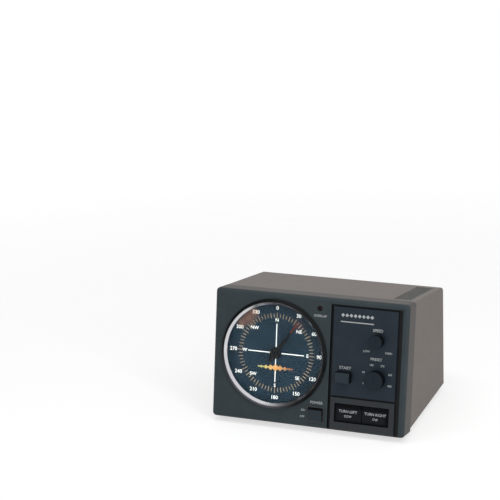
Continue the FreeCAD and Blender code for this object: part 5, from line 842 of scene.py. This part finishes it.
def on_rear(across, up):
    """A place on the rear panel in millimetres: X runs to the right of someone behind it, Z out to them."""
    turned = Matrix.Rotation(math.pi, 4, "Z") @ Matrix.Rotation(math.pi / 2, 4, "X")
    return rear @ Matrix.Translation(Vector((across, 0, up - REAR_EDGE)) * MM) @ turned @ Matrix.Scale(MM, 4)


rear_print = bmesh.new()
for words, across, up, tall in REAR_LABELS:
    print_words(rear_print, on_rear(across, up), words, tall)
for across, up, wide, high in REAR_FRAMES:
    place = on_rear(across, up)
    for side in (-0.5, 0.5):
        print_bar(rear_print, place @ Matrix.Translation((0, side * high, 0)), wide, FRAME_LINE)
        print_bar(rear_print, place @ Matrix.Translation((side * wide, 0, 0)), FRAME_LINE, high)
make_piece("rear_lettering", rear_print, face_white, "cabinet")

# Cover: one folded sheet of steel over the top and both sides, slotted along its right edge for air.
# Sprayed a warm grey with a fine leathery texture; the strip that holds the slots is a duller grey.
GRILLE_LEFT, GRILLE_RIGHT, GRILLE_FRONT, GRILLE_REAR = 74.0, 93.0, 31.0, 122.0
GRILLE_LEVEL, GRILLE_FADE, LEVEL_FADE = 129.9, 0.5, 0.2
cover_paint = finish(
    "cover_paint", (103, 93, 86), (107, 97, 90), grain=0.4, gloss=(0.42, 0.6), relief=0.05, shine=0.4
)
grille = within(
    cover_paint,
    (ACROSS, GRILLE_LEFT, GRILLE_LEFT + GRILLE_FADE),
    (ACROSS, GRILLE_RIGHT, GRILLE_RIGHT - GRILLE_FADE),
    (BEHIND, GRILLE_FRONT, GRILLE_FRONT + GRILLE_FADE),
    (BEHIND, GRILLE_REAR, GRILLE_REAR - GRILLE_FADE),
    (UP, GRILLE_LEVEL, GRILLE_LEVEL + LEVEL_FADE),
)
lay_over(cover_paint, grille, (86, 86, 81))
coat(cover_paint, "top_cover")

# Stage: a pale floor that keeps the shadow and melts into a white surround.
# It is lifted by a glow that shows to the eye and in reflections, but casts no light on the object.
FLOOR_REACH = 2.0  # metres
FLOOR_SIDES = 64
FLOOR_WHOLE, FLOOR_GONE = 350, 950  # from the middle
FLOOR_TONE, FLOOR_ROUGHNESS, FLOOR_LIFT = 0.6, 0.9, 0.63
floor_shape = bmesh.new()
bmesh.ops.create_circle(floor_shape, cap_ends=True, segments=FLOOR_SIDES, radius=FLOOR_REACH)
floor_mesh = bpy.data.meshes.new("floor")
floor_shape.to_mesh(floor_mesh)
floor_shape.free()
floor = bpy.data.objects.new("floor", floor_mesh)
bpy.context.scene.collection.objects.link(floor)


def seen_rays(material):
    """1 for rays that look at the scene, straight, mirrored or through glass; 0 for rays that light it."""
    nodes, links = material.node_tree.nodes, material.node_tree.links
    rays = nodes.new("ShaderNodeLightPath")
    total = rays.outputs["Is Camera Ray"]
    for kind in ("Is Glossy Ray", "Is Transmission Ray"):
        either = nodes.new("ShaderNodeMath")
        either.operation = "MAXIMUM"
        links.new(total, either.inputs[0])
        links.new(rays.outputs[kind], either.inputs[1])
        total = either.outputs[0]
    return total


floor_paper = bpy.data.materials.new("floor_paper")
floor_paper.use_nodes = True
nodes, links = floor_paper.node_tree.nodes, floor_paper.node_tree.links
paper = nodes["Principled BSDF"]
paper.inputs["Base Color"].default_value = (FLOOR_TONE, FLOOR_TONE, FLOOR_TONE, 1)
paper.inputs["Roughness"].default_value = FLOOR_ROUGHNESS
paper.inputs["Specular IOR Level"].default_value = 0.0
paper.inputs["Emission Color"].default_value = (1, 1, 1, 1)
lift = between(floor_paper, seen_rays(floor_paper), 0, 1, 0, FLOOR_LIFT)
links.new(lift, paper.inputs["Emission Strength"])
nothing = nodes.new("ShaderNodeBsdfTransparent")
blend = nodes.new("ShaderNodeMixShader")
links.new(near(floor_paper, (0, 0, 0), FLOOR_WHOLE, FLOOR_GONE), blend.inputs["Fac"])
links.new(nothing.outputs["BSDF"], blend.inputs[1])
links.new(paper.outputs["BSDF"], blend.inputs[2])
links.new(blend.outputs["Shader"], nodes["Material Output"].inputs["Surface"])
floor_mesh.materials.append(floor_paper)

# Surround: white to the eye, and dimmer as a light. The helpers serve its node tree like a material's.
# Polished faces mirror a dark side of it at the upper left, so that the ring's right half stays dark.
SURROUND_LIGHT = 0.4
DARK_SIDE, DARK_FROM, DARK_TO, DARK_SHARE = (-0.8, 0, 0.6), 0.68, 0.98, 0.15
world = bpy.data.worlds.new("surround")
bpy.context.scene.world = world
world.use_nodes = True
nodes, links = world.node_tree.nodes, world.node_tree.links
background = nodes["Background"]
strength = between(world, seen_rays(world), 0, 1, SURROUND_LIGHT, 1)
way = nodes.new("ShaderNodeTexCoord").outputs["Generated"]
towards = nodes.new("ShaderNodeVectorMath")
towards.operation = "DOT_PRODUCT"
towards.inputs[1].default_value = DARK_SIDE
links.new(way, towards.inputs[0])
mirrored = nodes.new("ShaderNodeLightPath").outputs["Is Glossy Ray"]
dark = overlap(world, between(world, towards.outputs["Value"], DARK_FROM, DARK_TO), mirrored)
darkened = overlap(world, strength, between(world, dark, 0, 1, 1, DARK_SHARE))
links.new(darkened, background.inputs["Strength"])
background.inputs["Color"].default_value = (1, 1, 1, 1)

# Lamps: two long soft strips that arch over the object from its front right to overhead.
# They run on from each other, so that polished edges catch one unbroken line of light.
LAMP_AWAY, LAMP_WIDTH = 1.2, 0.1  # metres
LAMP_GLARE = 8.0
ARCH = (Vector((0.81, -0.58, -0.05)), Vector((0.47, -0.45, 0.76)), Vector((-0.35, -0.22, 0.91)))
lamp_aim = (Vector(cad_box[0]) + Vector(cad_box[1])) / 2
for number in range(len(ARCH) - 1):
    start, end = (lamp_aim + way.normalized() * LAMP_AWAY for way in ARCH[number : number + 2])
    run = end - start
    light = bpy.data.lights.new("strip_%d" % number, "AREA")
    light.shape = "RECTANGLE"
    light.size = run.length
    light.size_y = LAMP_WIDTH
    light.energy = LAMP_GLARE * math.pi * light.size * light.size_y
    lamp = bpy.data.objects.new(light.name, light)
    bpy.context.scene.collection.objects.link(lamp)
    middle = (start + end) / 2
    outward = (middle - lamp_aim).normalized()
    along = (run - outward * run.dot(outward)).normalized()
    turned = Matrix((along, outward.cross(along), outward)).transposed().to_4x4()
    lamp.matrix_world = Matrix.Translation(middle) @ turned

# Camera: a long lens from the right and a little above, rolled a hair anticlockwise.
CAMERA_PLACE = Vector((0.48664, -1.47037, 0.61079))
CAMERA_LOOK = Vector((-0.34944, 0.89537, -0.27605))
CAMERA_ROLL = math.radians(-1.28)
CAMERA_LENS, CAMERA_FILM = 115.23, 36
CAMERA_NEAR = 0.05  # metres
camera_data = bpy.data.cameras.new("camera")
camera_data.lens = CAMERA_LENS
camera_data.sensor_width = CAMERA_FILM
camera_data.clip_start = CAMERA_NEAR
camera = bpy.data.objects.new("camera", camera_data)
bpy.context.scene.collection.objects.link(camera)
level = CAMERA_LOOK.to_track_quat("-Z", "Y").to_matrix().to_4x4()
camera.matrix_world = Matrix.Translation(CAMERA_PLACE) @ level @ Matrix.Rotation(CAMERA_ROLL, 4, "Z")
bpy.context.scene.camera = camera
bpy.context.scene.view_settings.view_transform = "Standard"
